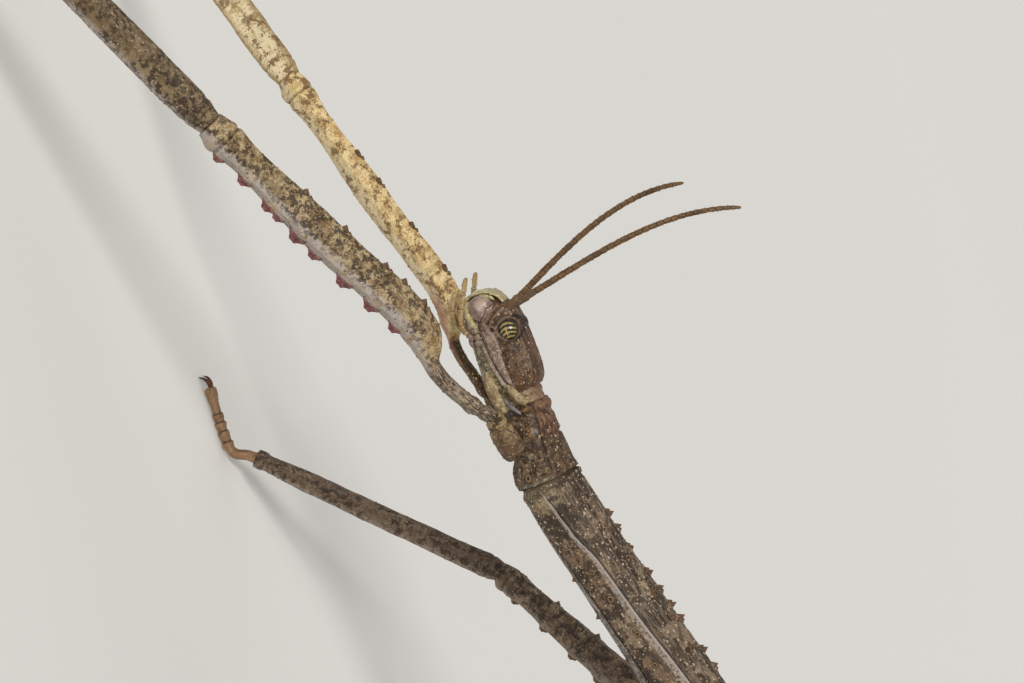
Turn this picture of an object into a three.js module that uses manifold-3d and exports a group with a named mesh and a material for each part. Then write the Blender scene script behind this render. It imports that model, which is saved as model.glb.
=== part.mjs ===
// A large winged stick insect, female, standing on the ground. Millimetres, +X ahead, +Y to its left, +Z up.
import * as THREE from 'three';
import { mergeVertices } from 'three/addons/utils/BufferGeometryUtils.js';
import Module from 'manifold-3d';

const wasm = await Module();
wasm.setup();

const gap = 0.3; // clearance left at every joint
const rad = THREE.MathUtils.degToRad;

// ---------- driving sizes ----------
const frontHeight = 43.4; // axis of the body above the ground, at the front of the mesothorax
const antennaLength = 26;
const eye = { along: 6.95, up: 1.5, out: 2.2, radius: 1.08 };
// Lengths of a leg's joints, then the sizes across them. Base holds the shares of a femur's length where its
// narrow base ends and where it has its full depth.
const legs = {
  fore: {
    coxa: 6.0, femur: 43.4, tibia: 44, tarsus: 14.5,
    neck: 2.1, base: [0.2, 0.29], depth: 4.1, thin: 0.72, knee: 3.5, shank: 3.5, shankEnd: 2.3, teeth: 9,
  },
  mid: {
    coxa: 4.6, femur: 37, tibia: 32.5, tarsus: 11.5,
    neck: 2.6, base: [0.13, 0.27], depth: 3.6, thin: 0.8, knee: 3.0, shank: 2.7, shankEnd: 2.0, teeth: 5,
  },
  hind: {
    coxa: 4.8, femur: 48, tibia: 54, tarsus: 13,
    neck: 2.7, base: [0.13, 0.27], depth: 4.0, thin: 0.8, knee: 3.1, shank: 2.8, shankEnd: 2.1, teeth: 5,
  },
};

// Lengths of the body from head to tail, and how steeply each length rises towards the head, in degrees.
const bodyChain = [
  ['neck', 1.05, 0],
  ['prothorax', 8.8, 3],
  ['mesothorax', 46, -16],
  ['metathorax', 30, -15],
  ['abdomen_2', 15, -12],
  ['abdomen_3', 17, -8],
  ['abdomen_4', 18, -3],
  ['abdomen_5', 18, 2],
  ['abdomen_6', 17, 7],
  ['abdomen_7', 14, 11],
  ['abdomen_8', 10, 14],
  ['abdomen_9', 8, 17],
  ['abdomen_10', 8, 19],
];

// Headings turn left from straight ahead and dips point down, in degrees. The height of the ankle above the
// ground sets a tibia's dip. Hips are behind the mesothorax's front, out and down. Roll turns the toothed
// lower edge of a femur outwards, bow is how far the femur arches up, and aside is how far its base bends
// away from the head, towards the toothed edge.
const stance = [
  {
    name: 'fore_left', kind: 'fore', hip: [-3.2, 2.7, 2.0], coxa: [15.5, 0.5],
    femur: [16.8, 22.7], roll: 40, bow: 1.2, aside: 1.05, tibia: 14.3, ankle: 7.5,
  },
  {
    name: 'fore_right', kind: 'fore', hip: [-3.2, -2.7, 2.0], coxa: [-14, 24],
    femur: [-6.8, 16.4], roll: 55, bow: 2.0, aside: 0.3, tibia: -31, ankle: 9.2,
  },
  {
    name: 'mid_left', kind: 'mid', hip: [41, 3.2, 3.0], coxa: [60, 22],
    femur: [106, 24], roll: 10, bow: 0.8, aside: 0, tibia: 114, ankle: 3.3,
  },
  {
    name: 'mid_right', kind: 'mid', hip: [41, -3.2, 3.0], coxa: [-42, 32],
    femur: [-34.5, 34.5], roll: 10, bow: 0.8, aside: 0, tibia: -3, ankle: 3.7,
  },
  {
    name: 'hind_left', kind: 'hind', hip: [71, 3.4, 3.0], coxa: [135, 20],
    femur: [151, 16], roll: 10, bow: 0.8, aside: 0, tibia: 159, ankle: 3.2,
  },
  {
    name: 'hind_right', kind: 'hind', hip: [71, -3.4, 3.0], coxa: [-135, 20],
    femur: [-147, 17], roll: 10, bow: 0.8, aside: 0, tibia: -153, ankle: 3.2,
  },
];

// ---------- small tools ----------
const vec = (x, y, z) => new THREE.Vector3(x, y, z);

function direction(heading, dip) {
  const flat = Math.cos(rad(dip));
  return vec(flat * Math.cos(rad(heading)), flat * Math.sin(rad(heading)), -Math.sin(rad(dip)));
}

// A value against a place: straight from one [place, value] stop to the next, and level beyond the ends.
function profile(stops) {
  return (place) => {
    if (place <= stops[0][0]) return stops[0][1];
    const next = stops.findIndex(([at]) => at >= place);
    if (next < 0) return stops[stops.length - 1][1];
    const [x0, y0] = stops[next - 1];
    const [x1, y1] = stops[next];
    return THREE.MathUtils.lerp(y0, y1, (place - x0) / (x1 - x0));
  };
}

// Shared corners merged, faces turned outwards.
function closed(geometry) {
  const bare = new THREE.BufferGeometry();
  bare.setAttribute('position', geometry.attributes.position);
  if (geometry.index) bare.setIndex(geometry.index);
  const shape = mergeVertices(bare, 1e-4);
  const corner = [0, 1, 2].map(() => new THREE.Vector3());
  const at = shape.attributes.position;
  const index = shape.index.array;
  let volume = 0;
  for (let i = 0; i < index.length; i += 3) {
    corner.forEach((point, k) => point.fromBufferAttribute(at, index[i + k]));
    volume += corner[0].dot(corner[1].clone().cross(corner[2]));
  }
  if (volume < 0) {
    for (let i = 0; i < index.length; i += 3) [index[i], index[i + 1]] = [index[i + 1], index[i]];
  }
  return shape;
}

function solid(geometry) {
  const shape = closed(geometry);
  const vertProperties = Float32Array.from(shape.attributes.position.array);
  const triVerts = Uint32Array.from(shape.index.array);
  return new wasm.Manifold(new wasm.Mesh({ numProp: 3, vertProperties, triVerts }));
}

function shapeOf(manifold) {
  const pieces = manifold.decompose().sort((a, b) => b.volume() - a.volume());
  const mesh = pieces[0].getMesh();
  const geometry = new THREE.BufferGeometry();
  geometry.setAttribute('position', new THREE.BufferAttribute(mesh.vertProperties, 3));
  geometry.setIndex(new THREE.BufferAttribute(mesh.triVerts, 1));
  return geometry;
}

const join = (base, extras) => extras.reduce((whole, extra) => whole.add(solid(extra)), base);
const carve = (base, cutters) => cutters.reduce((rest, cutter) => rest.subtract(cutter), base);

// A closed skin of rings along a path. The top, side and bottom radii vary with u from 0 to 1; angle 0 is
// the top and 90 the left. Squareness above 2 flattens the four faces, and keel narrows the lower half.
function loft({
  path, rings, sides, top, side, bottom = top, squareness = 2, keel = 0, level = vec(0, 1, 0),
}) {
  const frame = (u) => {
    const along = path.getTangentAt(u);
    const up = along.clone().cross(level).normalize();
    return { at: path.getPointAt(u), along, up, left: up.clone().cross(along) };
  };
  const offset = (u, angle, grow = 0) => {
    const c = Math.cos(rad(angle));
    const s = Math.sin(rad(angle));
    const bend = (value) => Math.sign(value) * Math.abs(value) ** (2 / squareness);
    const high = (c > 0 ? top(u) : bottom(u)) + grow;
    return [high * bend(c), (side(u) + grow) * bend(s) * (1 - keel * Math.max(0, -c) ** 1.5)];
  };
  const point = (u, angle, grow = 0, push = 0) => {
    const { at, along, up, left } = frame(u);
    const [high, wide] = offset(u, angle, grow);
    return at.addScaledVector(up, high).addScaledVector(left, wide).addScaledVector(along, push);
  };
  const skin = (grow = 0) => {
    const geometry = new THREE.CylinderGeometry(1, 1, 1, sides, rings.length - 1);
    const position = geometry.attributes.position;
    for (let i = 0; i < position.count; i += 1) {
      const ring = Math.round((position.getY(i) + 0.5) * (rings.length - 1));
      const push = ring === 0 ? -grow : ring === rings.length - 1 ? grow : 0;
      const onAxis = Math.hypot(position.getX(i), position.getZ(i)) < 0.5;
      const angle = THREE.MathUtils.radToDeg(Math.atan2(position.getZ(i), position.getX(i)));
      const { at, along } = frame(rings[ring]);
      const spot = onAxis ? at.addScaledVector(along, push) : point(rings[ring], angle, grow, push);
      position.setXYZ(i, spot.x, spot.y, spot.z);
    }
    return geometry;
  };
  // A pointed tooth that grows out of the skin.
  const tooth = (u, angle, height, radius, lean = 0) => {
    const root = point(u, angle);
    const { at, along } = frame(u);
    const out = root.clone().sub(at).normalize().addScaledVector(along, lean).normalize();
    const sunk = 0.35;
    const cone = new THREE.ConeGeometry(radius, height + sunk, 4);
    cone.applyQuaternion(new THREE.Quaternion().setFromUnitVectors(vec(0, 1, 0), out));
    const centre = root.addScaledVector(out, (height - sunk) / 2);
    return cone.translate(centre.x, centre.y, centre.z);
  };
  return { skin, point, tooth, body: () => solid(skin()), grown: () => solid(skin(gap)) };
}

function evenly(count, from = 0, to = 1) {
  return Array.from({ length: count }, (_, i) => from + ((to - from) * i) / (count - 1));
}

// ---------- finishes ----------
const finish = (color, roughness) => new THREE.MeshStandardMaterial({ color, roughness, metalness: 0 });
const finishes = {
  bark: () => finish('#6f6353', 0.8),
  head: () => finish('#66503f', 0.65),
  lichen: () => finish('#b3a48c', 0.8),
  horn: () => finish('#8a6232', 0.6),
  membrane: () => finish('#9a9460', 0.6),
  eye: () => finish('#c9b45a', 0.2),
  lip: () => finish('#cfc08a', 0.55),
  jaw: () => finish('#6b5350', 0.4),
  wing: () => finish('#7d6c55', 0.75),
};

const animal = new THREE.Group();

function place(name, manifoldOrGeometry, finishName, group = animal) {
  const isSolid = typeof manifoldOrGeometry.getMesh === 'function';
  const geometry = isSolid ? shapeOf(manifoldOrGeometry) : closed(manifoldOrGeometry);
  geometry.computeVertexNormals();
  const mesh = new THREE.Mesh(geometry, finishes[finishName]());
  mesh.name = name;
  group.add(mesh);
  return mesh;
}

// ---------- axis of the body ----------
const rise = (degrees) => vec(Math.cos(rad(degrees)), 0, Math.sin(rad(degrees)));
const mesothoraxIndex = bodyChain.findIndex(([name]) => name === 'mesothorax');
const joints = bodyChain.map(() => null);
joints.push(null);
joints[mesothoraxIndex] = vec(0, 0, frontHeight);
for (let i = mesothoraxIndex; i > 0; i -= 1) {
  const [, length, angle] = bodyChain[i - 1];
  joints[i - 1] = joints[i].clone().addScaledVector(rise(angle), length);
}
for (let i = mesothoraxIndex; i < bodyChain.length; i += 1) {
  const [, length, angle] = bodyChain[i];
  joints[i + 1] = joints[i].clone().addScaledVector(rise(angle), -length);
}
const headRise = -3.5;
const jointRise = joints.map((_, i) => {
  const ahead = i > 0 ? bodyChain[i - 1][2] : headRise;
  const behind = i < bodyChain.length ? bodyChain[i][2] : ahead;
  return (ahead + behind) / 2;
});
const stations = [0];
bodyChain.forEach(([, length]) => stations.push(stations[stations.length - 1] + length));
const thoraxStart = stations[mesothoraxIndex];

// One length of the body's axis, from front to rear, square to its neighbours at both ends.
function bodyPath(i) {
  const handle = Math.min(3, bodyChain[i][1] / 3);
  const front = joints[i];
  const rear = joints[i + 1];
  return new THREE.CubicBezierCurve3(
    front,
    front.clone().addScaledVector(rise(jointRise[i]), -handle),
    rear.clone().addScaledVector(rise(jointRise[i + 1]), handle),
    rear,
  );
}

// Radii of the body against the distance behind the head.
const bodyTop = profile([
  [0, 2.2], [1.05, 2.25], [9.85, 3.45], [14, 3.45], [35, 3.85], [58, 4.2], [86, 4.0],
  [130, 4.7], [168, 4.4], [185, 3.7], [203, 2.7], [211, 1.7],
]);
const bodySide = profile([
  [0, 1.9], [1.05, 2.2], [5, 2.8], [9.85, 3.15], [14, 3.2], [35, 3.7], [50, 4.6], [56, 4.9],
  [62, 4.4], [80, 4.7], [100, 5.1], [130, 5.6], [165, 5.2], [185, 4.2], [203, 3.1], [211, 2.1],
]);
const bodyBottom = profile([
  [0, 2.0], [1.05, 2.1], [9.85, 3.2], [14, 3.35], [35, 3.75], [52, 4.5], [62, 4.2], [80, 4.5],
  [90, 4.3], [130, 4.9], [168, 4.5], [185, 3.7], [203, 2.6], [211, 1.4],
]);

// One length of the body; its rear rim flares a little over the next one.
function bodyLength(i, { steps, sides, flare }) {
  const [, length] = bodyChain[i];
  const start = stations[i];
  const swell = (u) => 1 + flare * (u - 0.5) ** 3 * 4;
  const radius = (outline) => (u) => outline(start + u * length) * swell(u);
  const edge = gap / 2 / length;
  // The path runs from front to rear, so its own left is the insect's right.
  return loft({
    path: bodyPath(i),
    rings: evenly(steps + 1, edge, 1 - edge),
    sides,
    top: radius(bodyTop),
    side: radius(bodySide),
    bottom: radius(bodyBottom),
    squareness: 2.15,
    level: vec(0, -1, 0),
  });
}

const bodyLofts = {};
bodyChain.forEach(([name], i) => {
  const inAbdomen = name.startsWith('abdomen');
  const steps = { neck: 1, prothorax: 5, mesothorax: 8, metathorax: 6 }[name] ?? 3;
  bodyLofts[name] = bodyLength(i, { steps, sides: inAbdomen ? 14 : 18, flare: inAbdomen ? 0.05 : 0.03 });
});

// ---------- spines of the thorax ----------
// Rows run down both sides of the back, staggered, and blunter ones along the lower edges.
function thoraxSpines(name, count, from, to) {
  const spines = [];
  const skin = bodyLofts[name];
  for (const hand of [-1, 1]) {
    evenly(count, from, to).forEach((u, k) => {
      const stagger = 0.4 * hand * (to - from) / count;
      spines.push(skin.tooth(u + stagger, hand * (24 + 8 * (k % 2)), 0.8 + 0.25 * (k % 3), 0.36));
      if (k % 2 === 0) spines.push(skin.tooth(u - stagger, hand * 143, 0.5, 0.36));
    });
  }
  return spines;
}
const spinesOf = { mesothorax: thoraxSpines('mesothorax', 10, 0.08, 0.86) };

// ---------- legs ----------
function hipPoint([behind, out, down]) {
  const mesothorax = bodyChain[mesothoraxIndex][1];
  const onMetathorax = behind >= mesothorax;
  const front = joints[mesothoraxIndex + (onMetathorax ? 1 : 0)];
  const length = onMetathorax ? mesothoraxIndex + 1 : mesothoraxIndex - (behind < 0 ? 1 : 0);
  const ahead = rise(bodyChain[length][2]);
  const run = onMetathorax ? behind - mesothorax : behind;
  const below = vec(ahead.z, 0, -ahead.x);
  return front.clone().addScaledVector(ahead, -run).addScaledVector(below, down).add(vec(0, out, 0));
}

const half = (value) => value / 2;
const sideways = (heading) => vec(-Math.sin(rad(heading)), Math.cos(rad(heading)), 0);

// A slim arch between two joints, highest near its start. Where it starts it can run aside first.
function arch(from, to, bow = 0, aside = vec(0, 0, 0)) {
  const at = (u, height) => from.clone().lerp(to, u).add(vec(0, 0, height * bow));
  const straight = [at(0.26, 1)];
  const dodging = [at(0.07, 0).add(aside), at(0.19, 0).add(aside), at(0.3, 1)];
  const start = aside.length() > 0 ? dodging : straight;
  return new THREE.CatmullRomCurve3([from, ...start, at(0.6, 0.6), to]);
}

function buildLeg({ name, kind, hip, coxa, femur, roll, bow, aside, tibia, ankle }) {
  const size = legs[kind];
  const hand = Math.sign(hip[1]);
  const hipAt = hipPoint(hip);
  const hipEnd = hipAt.clone().addScaledVector(direction(...coxa), size.coxa);
  const kneeAt = hipEnd.clone().addScaledVector(direction(...femur), size.femur);
  const tibiaDip = THREE.MathUtils.radToDeg(Math.asin((kneeAt.z - ankle) / size.tibia));
  const ankleAt = kneeAt.clone().addScaledVector(direction(tibia, tibiaDip), size.tibia);

  const coxaLoft = loft({
    path: arch(hipAt, hipEnd),
    rings: [0, 0.3, 0.62, 0.8, 1],
    sides: 8,
    top: profile([[0, 1.5], [0.5, 1.75], [0.75, 1.45], [1, half(size.neck) + 0.1]]),
    side: profile([[0, 1.4], [0.5, 1.6], [0.75, 1.35], [1, half(size.neck)]]),
    level: sideways(coxa[0]),
  });

  // The base of a femur is narrow; past it the blade deepens, thins out slowly and ends in the knee.
  const [baseEnd, bladeStart] = size.base;
  const shoulder = THREE.MathUtils.lerp(baseEnd, bladeStart, 0.55);
  const femurDepth = profile([
    [0, size.neck], [baseEnd, size.neck], [shoulder, 0.8 * size.depth], [bladeStart, size.depth],
    [0.62, size.depth], [0.88, size.knee - 0.2], [0.95, size.knee + 0.3], [1, size.knee - 0.5],
  ]);
  const thinness = profile([[0, 1], [baseEnd, 1], [bladeStart, size.thin], [0.85, size.thin], [0.95, 0.85]]);
  const along = direction(...femur);
  const level = sideways(femur[0]).applyAxisAngle(along, rad(roll * hand));
  const toTeeth = level.clone().cross(along).normalize().multiplyScalar(aside);
  const femurLoft = loft({
    path: arch(hipEnd, kneeAt, bow, toTeeth),
    rings: [0, 0.07, baseEnd, shoulder, bladeStart, 0.45, 0.62, 0.88, 0.95, 1],
    sides: 8,
    top: (u) => half(femurDepth(u)),
    side: (u) => half(femurDepth(u)) * thinness(u),
    squareness: 2.6,
    level,
  });
  const teeth = evenly(size.teeth, 0.38, 0.93).map((u, k) => {
    const height = 0.9 + 0.3 * (k % 2);
    return femurLoft.tooth(u, 180, height, 0.62, 0.2);
  });
  evenly(3, 0.34, 0.62).forEach((u) => teeth.push(femurLoft.tooth(u, 30 * hand, 0.55, 0.32, 0.2)));

  const tibiaDepth = profile([
    [0, size.knee - 0.9], [0.05, size.knee - 0.1], [0.12, size.shank], [0.8, size.shank - 0.3],
    [0.95, size.shankEnd], [1, size.shankEnd + 0.2],
  ]);
  const tibiaLoft = loft({
    path: arch(kneeAt, ankleAt),
    rings: [0, 0.05, 0.12, 0.45, 0.8, 0.95, 1],
    sides: 8,
    top: (u) => half(tibiaDepth(u)),
    side: (u) => half(tibiaDepth(u)) * 0.84,
    squareness: 2.6,
    level: sideways(tibia),
  });

  const thorax = ['prothorax', 'mesothorax', 'metathorax'].map((part) => bodyLofts[part].grown());
  place(`${name}_coxa`, carve(coxaLoft.body(), thorax), 'bark');
  place(`${name}_femur`, carve(join(femurLoft.body(), teeth), [coxaLoft.grown()]), 'lichen');
  place(`${name}_tibia`, carve(tibiaLoft.body(), [femurLoft.grown()]), 'lichen');
  place(`${name}_tarsus`, carve(buildTarsus(ankleAt, tibia, size.tarsus), [tibiaLoft.grown()]), 'horn');
}

// A foot of five joints that comes down from the ankle and lies flat under its last joints, with two claws.
const padRadius = 0.8;
const soleCut = 0.12; // the pads press this far into their flat soles

function buildTarsus(ankleAt, heading, length) {
  const level = padRadius - soleCut;
  const ahead = direction(heading, 0);
  const drop = ankleAt.z - level;
  const slopeLength = Math.max(0.3 * length, 1.15 * drop);
  const reach = Math.sqrt(slopeLength ** 2 - drop ** 2);
  const at = (run, height) => ankleAt.clone().addScaledVector(ahead, run).setZ(height);
  const path = new THREE.CatmullRomCurve3([
    ankleAt,
    at(0.4 * reach, level + 0.66 * drop),
    at(0.85 * reach, level + 0.14 * drop),
    at(reach + 0.2 * (length - slopeLength), level),
    at(reach + length - slopeLength, level),
  ]);
  const waist = 0.66;
  const radius = profile([
    [0, 0.72], [0.34, waist], [0.44, padRadius], [0.54, waist], [0.62, padRadius], [0.7, waist],
    [0.83, waist], [0.95, padRadius + 0.1], [1, waist],
  ]);
  const foot = loft({
    path,
    rings: [0, 0.17, 0.34, 0.44, 0.54, 0.62, 0.7, 0.83, 0.95, 1],
    sides: 6,
    top: radius,
    side: radius,
    level: sideways(heading),
  });
  const tip = path.getPointAt(1);
  const claws = [-1, 1].map((hand) => {
    const away = direction(heading + 30 * hand, 12);
    const claw = new THREE.ConeGeometry(0.36, 2.4, 4);
    claw.applyQuaternion(new THREE.Quaternion().setFromUnitVectors(vec(0, 1, 0), away));
    const middle = tip.clone().addScaledVector(away, 0.75);
    return claw.translate(middle.x, middle.y, middle.z + 0.15);
  });
  const ground = new THREE.BoxGeometry(80, 80, 10).translate(tip.x, tip.y, -5);
  return join(foot.body(), claws).subtract(solid(ground));
}

stance.forEach(buildLeg);

// ---------- trunk and abdomen ----------
bodyChain.forEach(([name], i) => {
  const body = join(bodyLofts[name].body(), spinesOf[name] ?? []);
  place(name, body, name === 'neck' ? 'membrane' : 'bark');
});

// ---------- wings and tail plates ----------
// A point on the skin of the body, at a station behind the head.
function onBody(station, angle, lift) {
  const length = stations.findIndex((start, k) => station < (stations[k + 1] ?? Infinity));
  const i = Math.min(bodyChain.length - 1, length);
  const u = THREE.MathUtils.clamp((station - stations[i]) / bodyChain[i][1], 0, 1);
  return bodyLofts[bodyChain[i][0]].point(u, -angle, lift);
}

// A thin plate that follows the body between two stations and two angles round it.
function plate({ from, to, steps, around, angles, lift, thickness }) {
  const geometry = new THREE.BoxGeometry(1, 1, 1, steps, around, 1);
  const position = geometry.attributes.position;
  for (let i = 0; i < position.count; i += 1) {
    const u = position.getX(i) + 0.5;
    const v = position.getY(i) + 0.5;
    const [inner, outer] = angles(u);
    const height = lift + (position.getZ(i) + 0.5) * thickness;
    const spot = onBody(from + u * (to - from), THREE.MathUtils.lerp(inner, outer, v), height);
    position.setXYZ(i, spot.x, spot.y, spot.z);
  }
  return geometry;
}

const wingPlate = 0.6;
const wingLift = 0.45;
const tegmenLift = wingLift + wingPlate + gap + 0.15;
const leaf = (u) => Math.sin(Math.PI * Math.min(1, 0.12 + 0.88 * u)) ** 0.45;
const leafAngles = (hand, reach) => (u) => [3 * hand, (8 + reach * leaf(u)) * hand];
for (const [side, hand] of [['left', 1], ['right', -1]]) {
  place(`wing_${side}`, plate({
    from: thoraxStart + 51,
    to: thoraxStart + 112,
    steps: 9,
    around: 3,
    angles: leafAngles(hand, 62),
    lift: wingLift,
    thickness: wingPlate,
  }), 'wing');
  place(`tegmen_${side}`, plate({
    from: thoraxStart + 43,
    to: thoraxStart + 77,
    steps: 7,
    around: 3,
    angles: leafAngles(hand, 56),
    lift: tegmenLift,
    thickness: wingPlate,
  }), 'wing');
}
place('operculum', plate({
  from: stations[10] + 1,
  to: stations[13] + 3,
  steps: 6,
  around: 4,
  angles: (u) => [180 - 46 * (1 - 0.6 * u), 180 + 46 * (1 - 0.6 * u)],
  lift: wingLift,
  thickness: 0.8,
}), 'bark');

const tail = joints[joints.length - 1];
for (const [side, hand] of [['left', 1], ['right', -1]]) {
  const start = tail.clone().add(vec(-gap, 1.3 * hand, 0.2));
  const cercusLength = 20;
  const end = start.clone().addScaledVector(direction(180 - 9 * hand, 14), cercusLength);
  const cercus = loft({
    path: new THREE.CatmullRomCurve3([start, start.clone().lerp(end, 0.5).add(vec(0, 0.8 * hand, 0.5)), end]),
    rings: [0, 0.1, 0.25, 0.45, 0.65, 0.85, 0.96, 1],
    sides: 8,
    top: profile([[0, 0.5], [0.5, 0.42], [1, 0.3]]),
    side: profile([[0, 0.7], [0.12, 1.1], [0.45, 2.0], [0.7, 1.9], [0.92, 1.0], [1, 0.35]]),
    level: vec(0, 1, 0),
  });
  place(`cercus_${side}`, carve(cercus.body(), [bodyLofts.abdomen_10.grown()]), 'bark');
}

// ---------- head ----------
const head = new THREE.Group();
head.position.copy(joints[0]);
head.rotation.y = -rad(headRise);
animal.add(head);

const headLength = 11;
const headLoft = loft({
  path: new THREE.LineCurve3(vec(gap, 0, 0), vec(headLength, 0, 0)),
  rings: [0, 0.07, 0.18, 0.4, 0.62, 0.74, 0.84, 0.92, 1],
  sides: 16,
  top: profile([
    [0, 2.2], [0.07, 2.75], [0.18, 3.0], [0.4, 3.1], [0.6, 3.1], [0.74, 2.95], [0.84, 2.65], [0.93, 1.7],
    [1, 0.8],
  ]),
  side: profile([
    [0, 2.1], [0.07, 2.45], [0.18, 2.65], [0.5, 2.75], [0.66, 2.7], [0.8, 2.3], [0.92, 1.75], [1, 1.2],
  ]),
  bottom: profile([
    [0, 2.6], [0.07, 3.6], [0.2, 3.9], [0.5, 3.6], [0.7, 3.5], [0.84, 3.1], [0.93, 2.5], [1, 1.5],
  ]),
  squareness: 2.2,
  keel: 0.42,
});

function ball(at, radii, detail = 10) {
  return new THREE.SphereGeometry(1, detail, detail / 2).scale(...radii).translate(...at);
}

const headCutters = [headLoft.grown()];
const sockets = [];
const jawRoom = [];
for (const [side, hand] of [['left', 1], ['right', -1]]) {
  const eyeAt = [eye.along, eye.out * hand, eye.up];
  const eyeRadii = [eye.radius, 0.95, eye.radius];
  sockets.push(solid(ball(eyeAt, eyeRadii.map((radius) => radius + gap))));
  place(`eye_${side}`, ball(eyeAt, eyeRadii, 12), 'eye', head);

  const jawAt = [10.1, 1.75 * hand, -0.7];
  const jawRadii = [1.45, 1.1, 1.5];
  place(`mandible_${side}`, carve(solid(ball(jawAt, jawRadii)), headCutters), 'jaw', head);
  jawRoom.push(solid(ball(jawAt, jawRadii.map((radius) => radius + gap))));

  const root = vec(9.2, 1.25 * hand, 2.3);
  const scale = antennaLength / 25.6;
  const bends = hand > 0
    ? [[2.8, 2.6, 6.8], [7.6, 3.4, 15.2], [5.9, 6.7, 23.4]]
    : [[1.2, -2.3, 8.0], [4.1, -3.6, 17.3], [0.7, -6.7, 25.3]];
  const [first, second, tip] = bends.map(([x, y, z]) => vec(x, y, z).multiplyScalar(scale).add(root));
  const radius = profile([[0, 0.5], [0.06, 0.5], [0.075, 0.4], [0.6, 0.32], [1, 0.25]]);
  const antenna = loft({
    path: new THREE.CubicBezierCurve3(root, first, second, tip),
    rings: [0, 0.06, 0.075, ...evenly(8, 0.16, 1)],
    sides: 6,
    top: radius,
    side: radius,
  });
  place(`antenna_${side}`, carve(antenna.body(), headCutters), 'horn', head);

  // Feelers of the mouth, the longer pair outside.
  const palps = {
    maxillary_palp: {
      points: [[7.7, 1.7, -3.1], [9.4, 2.5, -3.1], [11.2, 2.6, -2.3], [12.6, 2.5, -1.5], [13.8, 2.3, -0.8]],
      girth: 0.36,
    },
    labial_palp: {
      points: [[8.1, 0.9, -3.6], [9.9, 1.2, -4.0], [11.5, 1.3, -3.6], [12.7, 1.2, -2.9]],
      girth: 0.34,
    },
  };
  for (const [name, { points, girth }] of Object.entries(palps)) {
    const path = new THREE.CatmullRomCurve3(points.map(([x, y, z]) => vec(x, y * hand, z)));
    const thickness = profile([[0, girth * 0.9], [0.9, girth], [1, girth * 0.6]]);
    const palp = loft({ path, rings: evenly(7), sides: 6, top: thickness, side: thickness });
    place(`${name}_${side}`, carve(palp.body(), headCutters), 'horn', head);
  }
}
const labrum = solid(ball([11.25, 0, -0.9], [0.6, 1.35, 1.55], 8));
place('labrum', carve(labrum, [...headCutters, ...jawRoom]), 'lip', head);
place('head', carve(headLoft.body(), sockets), 'head', head);

// ---------- origin at the middle of the box's floor ----------
animal.updateMatrixWorld(true);
const box = new THREE.Box3().setFromObject(animal, true);
const middle = box.getCenter(new THREE.Vector3());
animal.position.set(-middle.x, -middle.y, -box.min.z);

export default animal;
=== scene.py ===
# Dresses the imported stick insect: skins, spines, granules, wings and feelers, on a pale studio floor.
import itertools
import math

import bpy
import numpy as np
from mathutils import Matrix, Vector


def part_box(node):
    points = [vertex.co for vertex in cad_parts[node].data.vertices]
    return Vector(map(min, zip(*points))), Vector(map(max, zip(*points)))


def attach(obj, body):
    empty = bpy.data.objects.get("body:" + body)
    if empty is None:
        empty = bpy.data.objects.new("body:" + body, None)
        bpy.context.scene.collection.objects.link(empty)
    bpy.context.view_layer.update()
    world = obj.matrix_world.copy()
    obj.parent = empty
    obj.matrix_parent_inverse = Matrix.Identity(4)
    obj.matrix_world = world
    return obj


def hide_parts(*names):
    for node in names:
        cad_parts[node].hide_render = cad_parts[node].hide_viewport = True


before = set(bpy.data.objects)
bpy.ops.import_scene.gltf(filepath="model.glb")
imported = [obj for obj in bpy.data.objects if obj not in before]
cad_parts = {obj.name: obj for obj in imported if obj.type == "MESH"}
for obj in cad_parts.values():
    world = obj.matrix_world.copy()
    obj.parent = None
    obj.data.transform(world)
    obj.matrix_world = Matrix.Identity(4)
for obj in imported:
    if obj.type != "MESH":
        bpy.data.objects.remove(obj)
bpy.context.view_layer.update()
mm = 0.001
print("frame loaded:", len(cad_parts), "nodes")

# Sizes in millimetres. Stations run backwards from the rear of the head; a rise points up towards the head.
bodyPlan = {
    "frontHeight": 43.4,
    "headRise": -3.5,
    "chain": [("neck", 1.05, 0), ("prothorax", 8.8, 3), ("mesothorax", 46, -16), ("metathorax", 30, -15),
              ("abdomen_2", 15, -12), ("abdomen_3", 17, -8), ("abdomen_4", 18, -3), ("abdomen_5", 18, 2),
              ("abdomen_6", 17, 7), ("abdomen_7", 14, 11), ("abdomen_8", 10, 14), ("abdomen_9", 8, 17),
              ("abdomen_10", 8, 19)],
    "top": [(0, 2.2), (1.05, 2.25), (9.85, 3.45), (14, 3.45), (35, 3.85), (58, 4.2), (86, 4.0), (130, 4.7),
            (168, 4.4), (185, 3.7), (203, 2.7), (211, 1.7)],
    "side": [(0, 1.9), (1.05, 2.2), (5, 2.8), (9.85, 3.15), (14, 3.2), (35, 3.7), (50, 4.6), (56, 4.9),
             (62, 4.4), (80, 4.7), (100, 5.1), (130, 5.6), (165, 5.2), (185, 4.2), (203, 3.1), (211, 2.1)],
    "bottom": [(0, 2.0), (1.05, 2.1), (9.85, 3.2), (14, 3.35), (35, 3.75), (52, 4.5), (62, 4.2), (80, 4.5),
               (90, 4.3), (130, 4.9), (168, 4.5), (185, 3.7), (203, 2.6), (211, 1.4)],
    "squareness": 2.15,
}


bothSides = {"left": 1, "right": -1}
leftward, rightward = np.array([0, 1.0, 0]), np.array([0, -1.0, 0])


def unit(vectors):
    return vectors / np.linalg.norm(vectors, axis=-1, keepdims=True)


def rise(degrees):
    angle = math.radians(degrees)
    return np.array([math.cos(angle), 0.0, math.sin(angle)])


def direction(heading, dip):
    turn, down = math.radians(heading), math.radians(dip)
    flat = math.cos(down)
    return np.array([flat * math.cos(turn), flat * math.sin(turn), -math.sin(down)])


def sideways(heading):
    return direction(heading + 90, 0)


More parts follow.
